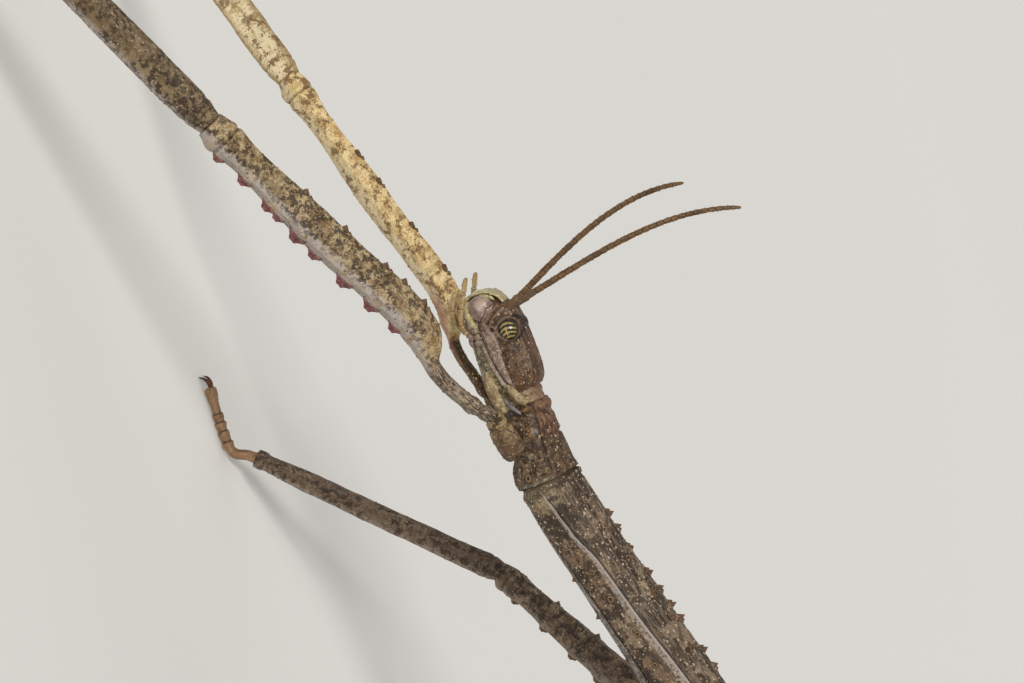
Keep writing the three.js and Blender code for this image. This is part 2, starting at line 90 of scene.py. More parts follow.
def turnsOf(sides):
    return np.arange(sides) * 360 / sides - 180


def turned(vector, axis, degrees):
    angle = math.radians(degrees)
    return (vector * math.cos(angle) + np.cross(axis, vector) * math.sin(angle)
            + axis * (axis @ vector) * (1 - math.cos(angle)))


# A smooth curve of value against place that never overshoots its stops.
def curveThrough(stops):
    x, y = np.array(stops, float).T
    step = np.diff(x)
    slope = np.diff(y) / step
    grade = np.zeros_like(y)
    grade[0], grade[-1] = slope[0], slope[-1]
    same = slope[:-1] * slope[1:] > 0
    near, far = 2 * step[1:] + step[:-1], step[1:] + 2 * step[:-1]
    safe = np.where(same, slope[:-1], 1), np.where(same, slope[1:], 1)
    grade[1:-1] = np.where(same, (near + far) / (near / safe[0] + far / safe[1]), 0)

    def at(place):
        place = np.clip(place, x[0], x[-1])
        i = np.clip(np.searchsorted(x, place, side="right") - 1, 0, len(step) - 1)
        t = (place - x[i]) / step[i]
        return (y[i] * (1 + 2 * t) * (1 - t) ** 2 + step[i] * grade[i] * t * (1 - t) ** 2
                + y[i + 1] * t * t * (3 - 2 * t) + step[i] * grade[i + 1] * t * t * (t - 1))

    return at


def softStep(value, low, high):
    t = np.clip((value - low) / (high - low), 0, 1)
    return t * t * (3 - 2 * t)


def crest(distance, width):
    return np.exp(-(distance / width) ** 2)


# Even lumps between -1 and 1 about as wide as size, the same on every run.
def lumps(points, size, seed=0):
    cell = np.floor(points / size).astype(np.int64)
    part = points / size - cell
    part = part * part * (3 - 2 * part)
    total = 0
    for corner in itertools.product((0, 1), repeat=3):
        at = cell + corner
        mixed = at[..., 0] * 73856093 ^ at[..., 1] * 19349663 ^ at[..., 2] * 83492791 ^ (seed + 7) * 40503
        mixed = ((mixed ^ (mixed >> 13)) * 1274126177) & 0xFFFFFFFF
        value = ((mixed ^ (mixed >> 15)) & 0xFFFF) / 32767.5 - 1
        total = total + value * np.prod(np.where(corner, part, 1 - part), axis=-1)
    return total


# Lumps of several sizes added up: height, size, seed and, where given, a stretch along the piece.
def bumps(grain, *rows):
    return sum(high * lumps(grain * [stretch[0] if stretch else 1, 1, 1], size, seed)
               for high, size, seed, *stretch in rows)


def pathAlong(points):
    points = np.asarray(points, float)
    lengths = np.concatenate([[0], np.cumsum(np.linalg.norm(np.diff(points, axis=0), axis=1))])
    tangents = unit(np.gradient(points, lengths, axis=0))
    share = lengths / lengths[-1]

    def at(u):
        spot = np.stack([np.interp(u, share, points[:, k]) for k in range(3)], -1)
        along = np.stack([np.interp(u, share, tangents[:, k]) for k in range(3)], -1)
        return spot, unit(along)

    at.length = lengths[-1]
    return at


# Passes through every point, with spans timed by the root of their length.
def bendThrough(knots, steps=40):
    knots = [np.asarray(knot, float) for knot in knots]
    knots = [2 * knots[0] - knots[1], *knots, 2 * knots[-1] - knots[-2]]
    dense = []
    for a, b, c, d in zip(knots, knots[1:], knots[2:], knots[3:]):
        t0 = 0.0
        t1 = t0 + np.linalg.norm(b - a) ** 0.5
        t2 = t1 + np.linalg.norm(c - b) ** 0.5
        t3 = t2 + np.linalg.norm(d - c) ** 0.5
        t = np.linspace(t1, t2, steps, endpoint=False)[:, None]
        ab = ((t1 - t) * a + (t - t0) * b) / (t1 - t0)
        bc = ((t2 - t) * b + (t - t1) * c) / (t2 - t1)
        cd = ((t3 - t) * c + (t - t2) * d) / (t3 - t2)
        abc = ((t2 - t) * ab + (t - t0) * bc) / (t2 - t0)
        bcd = ((t3 - t) * bc + (t - t1) * cd) / (t3 - t1)
        dense.append(((t2 - t) * abc + (t - t1) * bcd) / (t2 - t1))
    return pathAlong(np.concatenate([*dense, knots[-2][None]]))


def bezier(points, steps=60):
    a, b, c, d = (np.asarray(point, float) for point in points)
    t = np.linspace(0, 1, steps + 1)[:, None]
    return a * (1 - t) ** 3 + 3 * b * t * (1 - t) ** 2 + 3 * c * t * t * (1 - t) + d * t ** 3


# A sweep is a path with radii up, sideways and down; angle 0 is the top and 90 the left.
def sweepFrame(sweep, u):
    at, along = sweep["path"](u)
    up = unit(np.cross(along, sweep["level"]))
    return at, along, up, np.cross(up, along)


def sweepPoint(sweep, u, angle, lift=0.0):
    u, angle, lift = np.broadcast_arrays(np.asarray(u, float), np.asarray(angle, float), lift)
    at, along, up, left = sweepFrame(sweep, u)
    c, s = np.cos(np.radians(angle)), np.sin(np.radians(angle))
    power = 2 / sweep.get("squareness", 2)
    bottom = sweep.get("bottom", sweep["top"])
    high = (np.where(c > 0, sweep["top"](u), bottom(u)) + lift) * np.sign(c) * np.abs(c) ** power
    wide = (sweep["side"](u) + lift) * np.sign(s) * np.abs(s) ** power
    wide = wide * (1 - sweep.get("keel", 0) * np.maximum(0, -c) ** 1.5)
    return at + up * high[..., None] + left * wide[..., None]


def gridNormals(points, around=True):
    down = np.gradient(points, axis=0)
    if around:
        across = np.roll(points, -1, axis=1) - np.roll(points, 1, axis=1)
    else:
        across = np.gradient(points, axis=1)
    normal = np.cross(across, down)
    return normal / np.maximum(np.linalg.norm(normal, axis=-1, keepdims=True), 1e-9)


# The skin of a sweep on a grid of places and angles, pushed out by relief(u, angle, grain).
def skinOn(sweep, u, angles, relief=None, marks=None, length=None):
    u, angles = np.asarray(u, float), np.asarray(angles, float)
    grid, turn = u[:, None] + 0 * angles, angles + 0 * u[:, None]
    points = sweepPoint(sweep, grid, turn)
    at, along, up, left = sweepFrame(sweep, u)
    normal = gridNormals(points)
    middle = at[:, None]
    if ((points - middle) * normal).sum() < 0:
        normal = -normal
    reach = sweep["path"].length if length is None else length

    def grainOf(spots):
        offset = spots - middle
        return np.stack([grid * reach, (offset * left[:, None]).sum(-1), (offset * up[:, None]).sum(-1)], -1)

    grain = grainOf(points)
    if relief is not None:
        points = points + normal * relief(grid, turn, grain)[..., None]
        flip = np.sign((gridNormals(points) * normal).sum())
        normal = gridNormals(points) * flip
        grain = grainOf(points)
    zone = np.stack([grid, np.cos(np.radians(turn)), np.sin(np.radians(turn))], -1)
    extra = np.zeros_like(zone) if marks is None else marks(grid, turn, grain)
    return {"points": points, "normal": normal, "along": np.broadcast_to(along[:, None], points.shape),
            "grain": grain, "zone": zone, "marks": extra, "u": u, "angles": angles}


# The skin of a rod along a path, girth(u) thick and flattened sideways by flat.
def rodSkin(path, girth, steps, sides, relief=None, marks=None, level=leftward, flat=1.0):
    sweep = {"path": path, "level": level, "top": girth, "side": lambda u: girth(u) * flat}
    return skinOn(sweep, np.linspace(0, 1, steps), turnsOf(sides), relief, marks)


# Faces of a closed grid of rings, with a fan to one more point at each end.
def tubeFaces(rings, sides):
    i, j = np.arange(rings - 1)[:, None] * sides, np.arange(sides)
    following, count = (j + 1) % sides, rings * sides
    last = count - sides
    quads = np.stack([i + j, i + following, i + following + sides, i + j + sides], -1).reshape(-1, 4)
    return [quads, np.stack([np.full(sides, count), following, j], -1),
            np.stack([np.full(sides, count + 1), last + j, last + following], -1)]


# A closed part of a piece: its points, faces and surface values.
def closedPart(skin, material=0):
    def capped(key):
        return np.concatenate([skin[key].reshape(-1, 3), skin[key][0].mean(0)[None],
                               skin[key][-1].mean(0)[None]])

    values = {key: capped(key) for key in ("grain", "zone", "marks")}
    return outward({"verts": capped("points"), "faces": tubeFaces(*skin["points"].shape[:2]),
                    "material": material, **values})


def outward(part):
    volume = 0
    for faces in part["faces"]:
        corner = part["verts"][faces]
        for k in range(1, faces.shape[1] - 1):
            volume += (corner[:, 0] * np.cross(corner[:, k], corner[:, k + 1])).sum()
    if volume < 0:
        part["faces"] = [faces[:, ::-1] for faces in part["faces"]]
    return part


# A sheet with some thickness below a grid of points.
def sheetPart(points, thickness, grain, zone, marks):
    rings, sides = points.shape[:2]
    below = points - gridNormals(points, around=False) * thickness
    i, j = np.arange(rings - 1)[:, None] * sides, np.arange(sides - 1)
    top = np.stack([i + j, i + j + 1, i + j + 1 + sides, i + j + sides], -1).reshape(-1, 4)
    count = rings * sides
    rim = np.concatenate([np.arange(sides), np.arange(2 * sides - 1, count, sides),
                          np.arange(count - 2, count - sides - 1, -1),
                          np.arange(count - 2 * sides, 0, -sides)])
    following = np.roll(rim, -1)
    walls = np.stack([rim, rim + count, following + count, following], -1)
    doubled = {key: np.concatenate([value.reshape(-1, 3)] * 2)
               for key, value in (("grain", grain), ("zone", zone), ("marks", marks))}
    return outward({"verts": np.concatenate([points.reshape(-1, 3), below.reshape(-1, 3)]),
                    "faces": [top, top[:, ::-1] + count, walls], "material": 0, **doubled})


# Where a place and an angle lie on a finished skin: the point, the way out and the way along.
def spotsOn(skin, u, angle):
    row = np.interp(u, skin["u"], np.arange(len(skin["u"])))
    order = np.argsort(skin["angles"] % 360)
    turns = (skin["angles"] % 360)[order]
    column = np.interp(np.asarray(angle) % 360, np.append(turns, turns[0] + 360), np.arange(len(turns) + 1))
    sides = len(turns)
    i, j = np.minimum(row.astype(int), len(skin["u"]) - 2), column.astype(int)
    a, b = (row - i)[..., None], (column - j)[..., None]

    def blend(key):
        values = skin[key][:, order]
        return ((1 - a) * ((1 - b) * values[i, j % sides] + b * values[i, (j + 1) % sides])
                + a * ((1 - b) * values[i + 1, j % sides] + b * values[i + 1, (j + 1) % sides]))

    normal = unit(blend("normal"))
    along = blend("along")
    along = unit(along - normal * (along * normal).sum(-1, keepdims=True))
    return {"root": blend("points"), "out": normal, "along": along, "grain": blend("grain")}


# Copies of one small closed shape, set on spots of a skin. Its axes are across, along and out.
def scatterPart(shape, spots, size, material=0, lean=0.0, seed=1):
    count = len(spots["root"])
    out = unit(spots["out"] + spots["along"] * lean)
    along = unit(spots["along"] - out * (spots["along"] * out).sum(-1, keepdims=True))
    across = np.cross(along, out)
    size = np.broadcast_to(np.asarray(size, float), (count, 3))
    local = shape["verts"][None] * size[:, None]
    verts = (spots["root"][:, None] + local[..., :1] * across[:, None] + local[..., 1:2] * along[:, None]
             + local[..., 2:] * out[:, None]).reshape(-1, 3)
    step = len(shape["verts"])
    starts = (np.arange(count) * step)[:, None, None]
    faces = [(face[None] + starts).reshape(-1, face.shape[1]) for face in shape["faces"]]
    chance = np.random.default_rng(seed).random(count)
    zone = np.stack([np.tile(shape["height"], count), np.repeat(chance, step), np.repeat(size[:, 2], step)],
                    -1)
    grain = np.repeat(spots["grain"], step, axis=0) + local.reshape(-1, 3)
    return outward({"verts": verts, "faces": faces, "material": material, "grain": grain, "zone": zone,
                    "marks": np.full_like(zone, 9.0)})


def turnedShape(levels, sides, tweak=None):
    angle = np.arange(sides) * 2 * math.pi / sides
    verts = [[half * wide * math.cos(a), half * long * math.sin(a), height]
             for height, half, wide, long in levels for a in angle]
    verts = np.array(verts + [[0, 0, levels[0][0]], [0, 0, levels[-1][0]]])
    share = np.concatenate([np.repeat(np.linspace(0, 1, len(levels)), sides), [0, 1]])
    if tweak is not None:
        verts = tweak(verts, share)
    return {"verts": verts, "faces": tubeFaces(len(levels), sides), "height": share}


# Shapes one unit high on a footprint one unit across: height, half width, then how wide and how long it is.
granule = turnedShape([(-0.3, 1.0, 1, 1), (0.35, 0.86, 1, 1), (0.85, 0.42, 1, 1)], 7)
thorn = turnedShape([(-0.4, 1.15, 1, 1), (0.0, 0.95, 1, 1), (0.3, 0.64, 1, 1.05), (0.6, 0.38, 1, 1.05),
                     (0.85, 0.17, 1, 1), (1.0, 0.03, 1, 1)], 10)
hair = turnedShape([(-0.05, 1.0, 1, 1), (0.6, 0.55, 1, 1), (1.0, 0.12, 1, 1)], 4)
crater = turnedShape([(-0.4, 1.0, 1, 1), (0.25, 0.95, 1, 1), (0.8, 0.72, 1, 1), (1.0, 0.48, 1, 1),
                      (0.75, 0.28, 1, 1), (0.35, 0.14, 1, 1)], 14)


def twoPoints(verts, share):
    long = np.abs(verts[:, 1])
    verts[:, 2] += 0.14 * share ** 3 * np.clip(long / 0.34, 0, 1.3) ** 2
    return verts


lobe = turnedShape([(-0.45, 1.1, 0.5, 1.0), (0.0, 1.0, 0.42, 1.0), (0.2, 0.78, 0.42, 1.0),
                    (0.42, 0.58, 0.4, 1.0), (0.65, 0.44, 0.36, 1.0), (0.84, 0.34, 0.28, 1.0),
                    (0.9, 0.22, 0.16, 0.9)], 18, twoPoints)

# Jittered places on a skin, about spacing apart, kept with the chance that share(u, angle) gives.
def strewn(length, girth, spacing, share, seed, uRange=(0, 1)):
    pick = np.random.default_rng(seed)
    rows = max(1, round(length * (uRange[1] - uRange[0]) / spacing))
    columns = max(1, round(girth / spacing))
    row, column = np.meshgrid(np.arange(rows), np.arange(columns), indexing="ij")
    u = uRange[0] + (row + pick.random(row.shape)) / rows * (uRange[1] - uRange[0])
    angle = (column + 0.5 * (row % 2) + pick.random(row.shape) * 0.9) / columns * 360 - 180
    keep = pick.random(row.shape) < share(u, angle)
    return u[keep], angle[keep]


bodyJoints = {}


def layOutBody():
    chain = bodyPlan["chain"]
    front = [name for name, _, _ in chain].index("mesothorax")
    joints = [None] * (len(chain) + 1)
    joints[front] = np.array([0, 0, bodyPlan["frontHeight"]])
    for i in range(front, 0, -1):
        joints[i - 1] = joints[i] + rise(chain[i - 1][2]) * chain[i - 1][1]
    for i in range(front, len(chain)):
        joints[i + 1] = joints[i] - rise(chain[i][2]) * chain[i][1]
    rises = [bodyPlan["headRise"], *(angle for _, _, angle in chain)]
    slopes = [(a + b) / 2 for a, b in zip(rises, rises[1:])] + [rises[-1]]
    points, stations, start = [], [], 0.0
    for i, (name, length, _) in enumerate(chain):
        bodyJoints[name] = start
        handle = min(3, length / 3)
        here, after = joints[i], joints[i + 1]
        curve = bezier([here, here - rise(slopes[i]) * handle, after + rise(slopes[i + 1]) * handle, after])
        run = np.concatenate([[0], np.cumsum(np.linalg.norm(np.diff(curve, axis=0), axis=1))])
        keep = slice(0, None if i == len(chain) - 1 else -1)
        points.append(curve[keep])
        stations.append((start + run / run[-1] * length)[keep])
        start += length
    bodyJoints["tail"] = start
    return joints, np.concatenate(points), np.concatenate(stations)


jointPoints, axisPoints, axisStations = layOutBody()
axisTangents = unit(np.gradient(axisPoints, axisStations, axis=0))
bodyLength = axisStations[-1]


def bodyPath(u):
    station = np.asarray(u) * bodyLength
    spot = np.stack([np.interp(station, axisStations, axisPoints[:, k]) for k in range(3)], -1)
    along = np.stack([np.interp(station, axisStations, axisTangents[:, k]) for k in range(3)], -1)
    return spot, unit(along)


bodyPath.length = bodyLength
bodyTop, bodySide, bodyBottom = (curveThrough(bodyPlan[key]) for key in ("top", "side", "bottom"))
bodySweep = {"path": bodyPath, "level": rightward, "squareness": bodyPlan["squareness"],
             "top": lambda u: bodyTop(u * bodyLength), "side": lambda u: bodySide(u * bodyLength),
             "bottom": lambda u: bodyBottom(u * bodyLength)}

# The head has a frame of its own: x ahead, y left, z up, from the middle of its rear.
headAt = jointPoints[0]
headAxes = np.stack([rise(bodyPlan["headRise"]), [0, 1, 0], rise(bodyPlan["headRise"] + 90)])
eyeShape = {"centre": (6.95, 2.2, 1.5), "radii": (1.08, 0.95, 1.08)}


def fromHead(points):
    return headAt + np.asarray(points, float) @ headAxes


def headBend(knots, hand=1):
    return bendThrough([fromHead((x, y * hand, z)) for x, y, z in knots])


eyeLow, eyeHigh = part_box("eye_left")
modelShift = np.array((eyeLow + eyeHigh) / 2) / mm - fromHead(eyeShape["centre"])

pieces = {}


def placed(name, data):
    holder = bpy.data.objects.new(name, data)
    bpy.context.scene.collection.objects.link(holder)
    return holder


def pour(name, parts, materials, nodes=()):
    verts = np.concatenate([part["verts"] for part in parts]) + modelShift
    starts = np.cumsum([0] + [len(part["verts"]) for part in parts])
    faces, indices = [], []
    for start, part in zip(starts, parts):
        for group in part["faces"]:
            faces += (group + start).tolist()
            indices += [part["material"]] * len(group)
    mesh = bpy.data.meshes.new(name)
    mesh.from_pydata((verts * mm).tolist(), [], faces)
    mesh.polygons.foreach_set("material_index", indices)
    mesh.shade_smooth()
    for key in ("grain", "zone", "marks"):
        values = np.concatenate([part[key] for part in parts]).astype(np.float32)
        mesh.attributes.new(key, "FLOAT_VECTOR", "POINT").data.foreach_set("vector", values.ravel())
    piece = placed(name, mesh)
    for material in materials:
        mesh.materials.append(material)
    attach(piece, "root")
    if nodes:
        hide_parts(*nodes)
    pieces[name] = piece
    return piece


# Shader nodes: a value given to an input is either a socket to link or a constant.
def put(tree, kind, plugs=(), **settings):
    made = tree.nodes.new("ShaderNode" + kind)
    for key, value in settings.items():
        setattr(made, key, value)
    for key, value in dict(plugs).items():
        if isinstance(value, bpy.types.NodeSocket):
            tree.links.new(value, made.inputs[key])
        else:
            made.inputs[key].default_value = value
    return made


def paint(code):
    parts = [int(code[k:k + 2], 16) / 255 for k in (1, 3, 5)]
    return (*[part / 12.92 if part <= 0.04045 else ((part + 0.055) / 1.055) ** 2.4 for part in parts], 1.0)


def calc(tree, operation, *values):
    return put(tree, "Math", dict(enumerate(values)), operation=operation).outputs[0]


def times(tree, *values):
    return calc(tree, "MULTIPLY", *values)


def plus(tree, *values):
    return calc(tree, "ADD", *values)


def less(tree, *values):
    return calc(tree, "SUBTRACT", *values)


def noise(tree, place, scale, detail, roughness=0.5, distortion=0.0):
    plugs = {"Vector": place, "Scale": scale, "Detail": detail, "Roughness": roughness,
             "Distortion": distortion}
    return put(tree, "TexNoise", plugs).outputs[0]


def ease(tree, value, low, high):
    plugs = {"Value": value, "From Min": low, "From Max": high}
    return put(tree, "MapRange", plugs, interpolation_type="SMOOTHSTEP").outputs[0]


def mixed(tree, factor, first, second):
    first, second = (paint(value) if isinstance(value, str) else value for value in (first, second))
    return put(tree, "Mix", {0: factor, 6: first, 7: second}, data_type="RGBA").outputs[2]


def newMaterial(name):
    material = bpy.data.materials.new(name)
    material.use_nodes = True
    return material, material.node_tree, material.node_tree.nodes["Principled BSDF"]


def newGroup(name, inputs, outputs):
    tree = bpy.data.node_groups.new(name, "ShaderNodeTree")
    for label, value in inputs.items():
        kind = "NodeSocketVector" if value is None else "NodeSocketFloat"
        socket = tree.interface.new_socket(name=label, in_out="INPUT", socket_type=kind)
        if value is not None:
            socket.default_value = value
    for label in outputs:
        tree.interface.new_socket(name=label, in_out="OUTPUT", socket_type="NodeSocketFloat")
    return tree, tree.nodes.new("NodeGroupInput").outputs, tree.nodes.new("NodeGroupOutput").inputs


def buildGranuleField():
    inputs = {"Place": None, "Spacing": 0.6, "Size": 0.3, "Share": 0.7}
    tree, given, out = newGroup("granuleField", inputs, ["Mask", "Dome"])
    pitch = calc(tree, "DIVIDE", 1.0, given["Spacing"])
    place = put(tree, "VectorMath", {0: given["Place"], "Scale": pitch}, operation="SCALE").outputs[0]
    cells = put(tree, "TexVoronoi", {"Vector": place, "Scale": 1.0})
    split = put(tree, "SeparateColor", {0: cells.outputs["Color"]}).outputs
    radius = times(tree, given["Size"], calc(tree, "MULTIPLY_ADD", split[0], 0.8, 0.55))
    ratio = calc(tree, "DIVIDE", cells.outputs["Distance"], radius)
    kept = calc(tree, "LESS_THAN", split[1], given["Share"])
    dome = calc(tree, "MAXIMUM", less(tree, 1.0, times(tree, ratio, ratio)), 0.0)
    tree.links.new(times(tree, ease(tree, ratio, 1.0, 0.72), kept), out["Mask"])
    tree.links.new(times(tree, dome, kept), out["Dome"])
    return tree


# Where a field passes the level that gives the wanted cover, soft across the edge.
def overLevel(tree, field, given):
    level = calc(tree, "MULTIPLY_ADD", given["Cover"], -0.42, 0.71)
    return ease(tree, field, less(tree, level, given["Edge"]), plus(tree, level, given["Edge"]))


def buildLichenPatches():
    inputs = {"Place": None, "Size": 3.0, "Cover": 0.4, "Edge": 0.05, "Crumble": 0.4, "Shift": 0.0}
    tree, given, out = newGroup("lichenPatches", inputs, ["Mask"])
    moved = put(tree, "VectorMath", {0: given["Place"],
                                     1: put(tree, "CombineXYZ", {2: given["Shift"]}).outputs[0]},
                operation="ADD").outputs[0]
    pitch = calc(tree, "DIVIDE", 1.0, given["Size"])
    broad = noise(tree, moved, pitch, 3.0, 0.6, 0.35)
    fine = noise(tree, moved, times(tree, pitch, 6.0), 4.0, 0.65)
    crumbs = times(tree, less(tree, fine, 0.5), given["Crumble"])
    field = plus(tree, broad, crumbs)
    tree.links.new(overLevel(tree, field, given), out["Mask"])
    return tree


def buildStreaks():
    inputs = {"Place": None, "Length": 6.0, "Width": 0.4, "Cover": 0.5, "Edge": 0.08, "Shift": 0.0}
    tree, given, out = newGroup("lengthwiseStreaks", inputs, ["Mask"])
    split = put(tree, "SeparateXYZ", {0: given["Place"]}).outputs
    along = calc(tree, "DIVIDE", split[0], given["Length"])
    across = calc(tree, "DIVIDE", split[1], given["Width"])
    up = plus(tree, calc(tree, "DIVIDE", split[2], given["Width"]), given["Shift"])
    place = put(tree, "CombineXYZ", {0: along, 1: across, 2: up}).outputs[0]
    field = noise(tree, place, 1.0, 4.0, 0.6, 0.25)
    tree.links.new(overLevel(tree, field, given), out["Mask"])
    return tree


def buildWrinkles():
    inputs = {"Place": None, "Size": 0.5, "Stretch": 1.0}
    tree, given, out = newGroup("skinWrinkles", inputs, ["Mask"])
    split = put(tree, "SeparateXYZ", {0: given["Place"]}).outputs
    along = calc(tree, "DIVIDE", split[0], given["Stretch"])
    place = put(tree, "CombineXYZ", {0: along, 1: split[1], 2: split[2]}).outputs[0]
    pitch = calc(tree, "DIVIDE", 1.0, given["Size"])
    folds = noise(tree, place, pitch, 5.0, 0.6, 0.8)
    ridged = calc(tree, "ABSOLUTE", less(tree, folds, 0.5))
    tree.links.new(ease(tree, ridged, 0.0, 0.16), out["Mask"])
    return tree


surface = {"grit": 0.22, "blend": (0.36, 0.64), "gritRough": 0.16, "smoothest": 0.08, "specular": 0.32}
groups = {"granules": buildGranuleField(), "lichen": buildLichenPatches(), "streaks": buildStreaks(),
          "wrinkles": buildWrinkles()}
# Values of each vertex: its place in the grain in mm, its share and facing (head and scattered shapes give
# their own), and distances in mm to marked lines.
channelNames = {"grain": ("along", "across", "up"), "zone": ("part", "top", "side"),
                "marks": ("markA", "markB", "markC")}


# Layers of a finish, painted in order. Within keeps a layer to bands, and broken thins it out with others.
def band(channel, low, high, soft, colour=None, amount=1.0, **more):
    return {"kind": "band", "band": (channel, low, high, soft), "colour": colour, "amount": amount, **more}


def lichen(size, cover, colour=None, amount=1.0, edge=0.05, crumble=0.4, shift=0.0, **more):
    plugs = {"Size": size, "Cover": cover, "Edge": edge, "Crumble": crumble, "Shift": shift}
    return {"kind": "lichen", "plugs": plugs, "colour": colour, "amount": amount, **more}


def streaks(length, width, cover, colour=None, amount=1.0, edge=0.08, shift=0.0, **more):
    plugs = {"Length": length, "Width": width, "Cover": cover, "Edge": edge, "Shift": shift}
    return {"kind": "streaks", "plugs": plugs, "colour": colour, "amount": amount, **more}


def grains(spacing, size, share, colour=None, amount=1.0, **more):
    plugs = {"Spacing": spacing, "Size": size, "Share": share}
    return {"kind": "granules", "plugs": plugs, "colour": colour, "amount": amount, **more}


def wrinkles(size, stretch, colour=None, amount=1.0, **more):
    return {"kind": "wrinkles", "plugs": {"Size": size, "Stretch": stretch}, "colour": colour,
            "amount": amount, **more}


# The place of a band between two values of a channel, 1 inside and soft at its edges.
def bandMask(tree, channels, channel, low, high, soft):
    value = channels[channel]
    rising = ease(tree, value, low - soft, low + soft)
    falling = ease(tree, value, high + soft, high - soft)
    return times(tree, rising, falling)


def layerMask(tree, channels, layer):
    kind = layer["kind"]
    if kind == "band":
        mask = bandMask(tree, channels, *layer["band"])
    else:
        plugs = {"Place": channels["grain"], **layer["plugs"]}
        made = put(tree, "Group", plugs, node_tree=groups[kind])
        mask = made.outputs["Mask"]
        if layer.get("inverse"):
            mask = less(tree, 1.0, mask)
        channels["dome"] = made.outputs["Dome"] if kind == "granules" else mask
    for limit in layer.get("within", ()):
        mask = times(tree, mask, bandMask(tree, channels, *limit))
    for other in layer.get("broken", ()):
        mask = times(tree, mask, layerMask(tree, channels, other))
    return mask


# A finish from a base colour and layers; each layer may change colour, roughness and height.
def cuticle(name, look):
    material, tree, shader = newMaterial(name)
    channels = {}
    for key, labels in channelNames.items():
        vector = put(tree, "Attribute", attribute_name=key).outputs["Vector"]
        channels[key] = vector
        channels.update(zip(labels, put(tree, "SeparateXYZ", {0: vector}).outputs))
    first, second, size = look["base"]
    blend = noise(tree, channels["grain"], 1 / size, 5.0, 0.6)
    colour = mixed(tree, ease(tree, blend, *surface["blend"]), first, second)
    roughness = look["roughness"]
    grit = noise(tree, channels["grain"], 1 / surface["grit"], 4.0)
    height = times(tree, grit, look["gritHeight"])
    for layer in look["layers"]:
        mask = layerMask(tree, channels, layer)
        if layer["colour"]:
            colour = mixed(tree, times(tree, mask, layer["amount"]), colour, layer["colour"])
        if "rough" in layer:
            roughness = plus(tree, roughness, times(tree, mask, layer["rough"]))
        if "height" in layer:
            relief = channels["dome"] if layer["kind"] == "granules" else mask
            height = plus(tree, height, times(tree, relief, layer["height"]))
    uneven = surface["gritRough"]
    roughness = plus(tree, roughness, calc(tree, "MULTIPLY_ADD", grit, uneven, -uneven / 2))
    tree.links.new(colour, shader.inputs["Base Color"])
    roughness = calc(tree, "MAXIMUM", roughness, surface["smoothest"])
    tree.links.new(calc(tree, "MINIMUM", roughness, 1.0), shader.inputs["Roughness"])
    bumped = put(tree, "Bump", {"Height": height, "Distance": look["bump"] * mm, "Strength": 1.0})
    tree.links.new(bumped.outputs[0], shader.inputs["Normal"])
    for label, value in {"Specular IOR Level": surface["specular"], **look.get("shader", {})}.items():
        shader.inputs[label].default_value = value
    return material


print("tools ready")

# Thorax and abdomen. Lines give an angle from the middle of the back against the station.
bodySkin = {
    "spacing": 0.44, "jointSpacing": 0.1, "sides": 120, "from": 1.15, "split": 85.85,
    "ridge": [(9.8, 101), (11.2, 97), (17, 89), (20, 80), (27.7, 75), (34.7, 67), (45, 61), (55, 57),
              (60, 64), (85, 68), (100, 84), (211, 88)],
    "seam": [(9.8, 168), (11.2, 162), (17.3, 147), (24.5, 131), (32.3, 127), (55, 122), (85, 124), (100, 112),
             (211, 110)],
    "ridgeHeight": 0.17, "ridgeWidth": 0.2, "seamDepth": 0.2, "seamWidth": 0.14,
    "rimHeight": 0.15, "grooveDepth": 0.34, "lumps": [(2.8, 0.06), (1.1, 0.05), (0.42, 0.022)],
}
pronotumTop = ("top", 0.35, 2.0, 0.1)
proSide = ("top", -0.8, 0.4, 0.1)
underStrip = [("markB", -1.6, -0.2, 0.1), ("along", 10.2, 86.0, 0.4)]
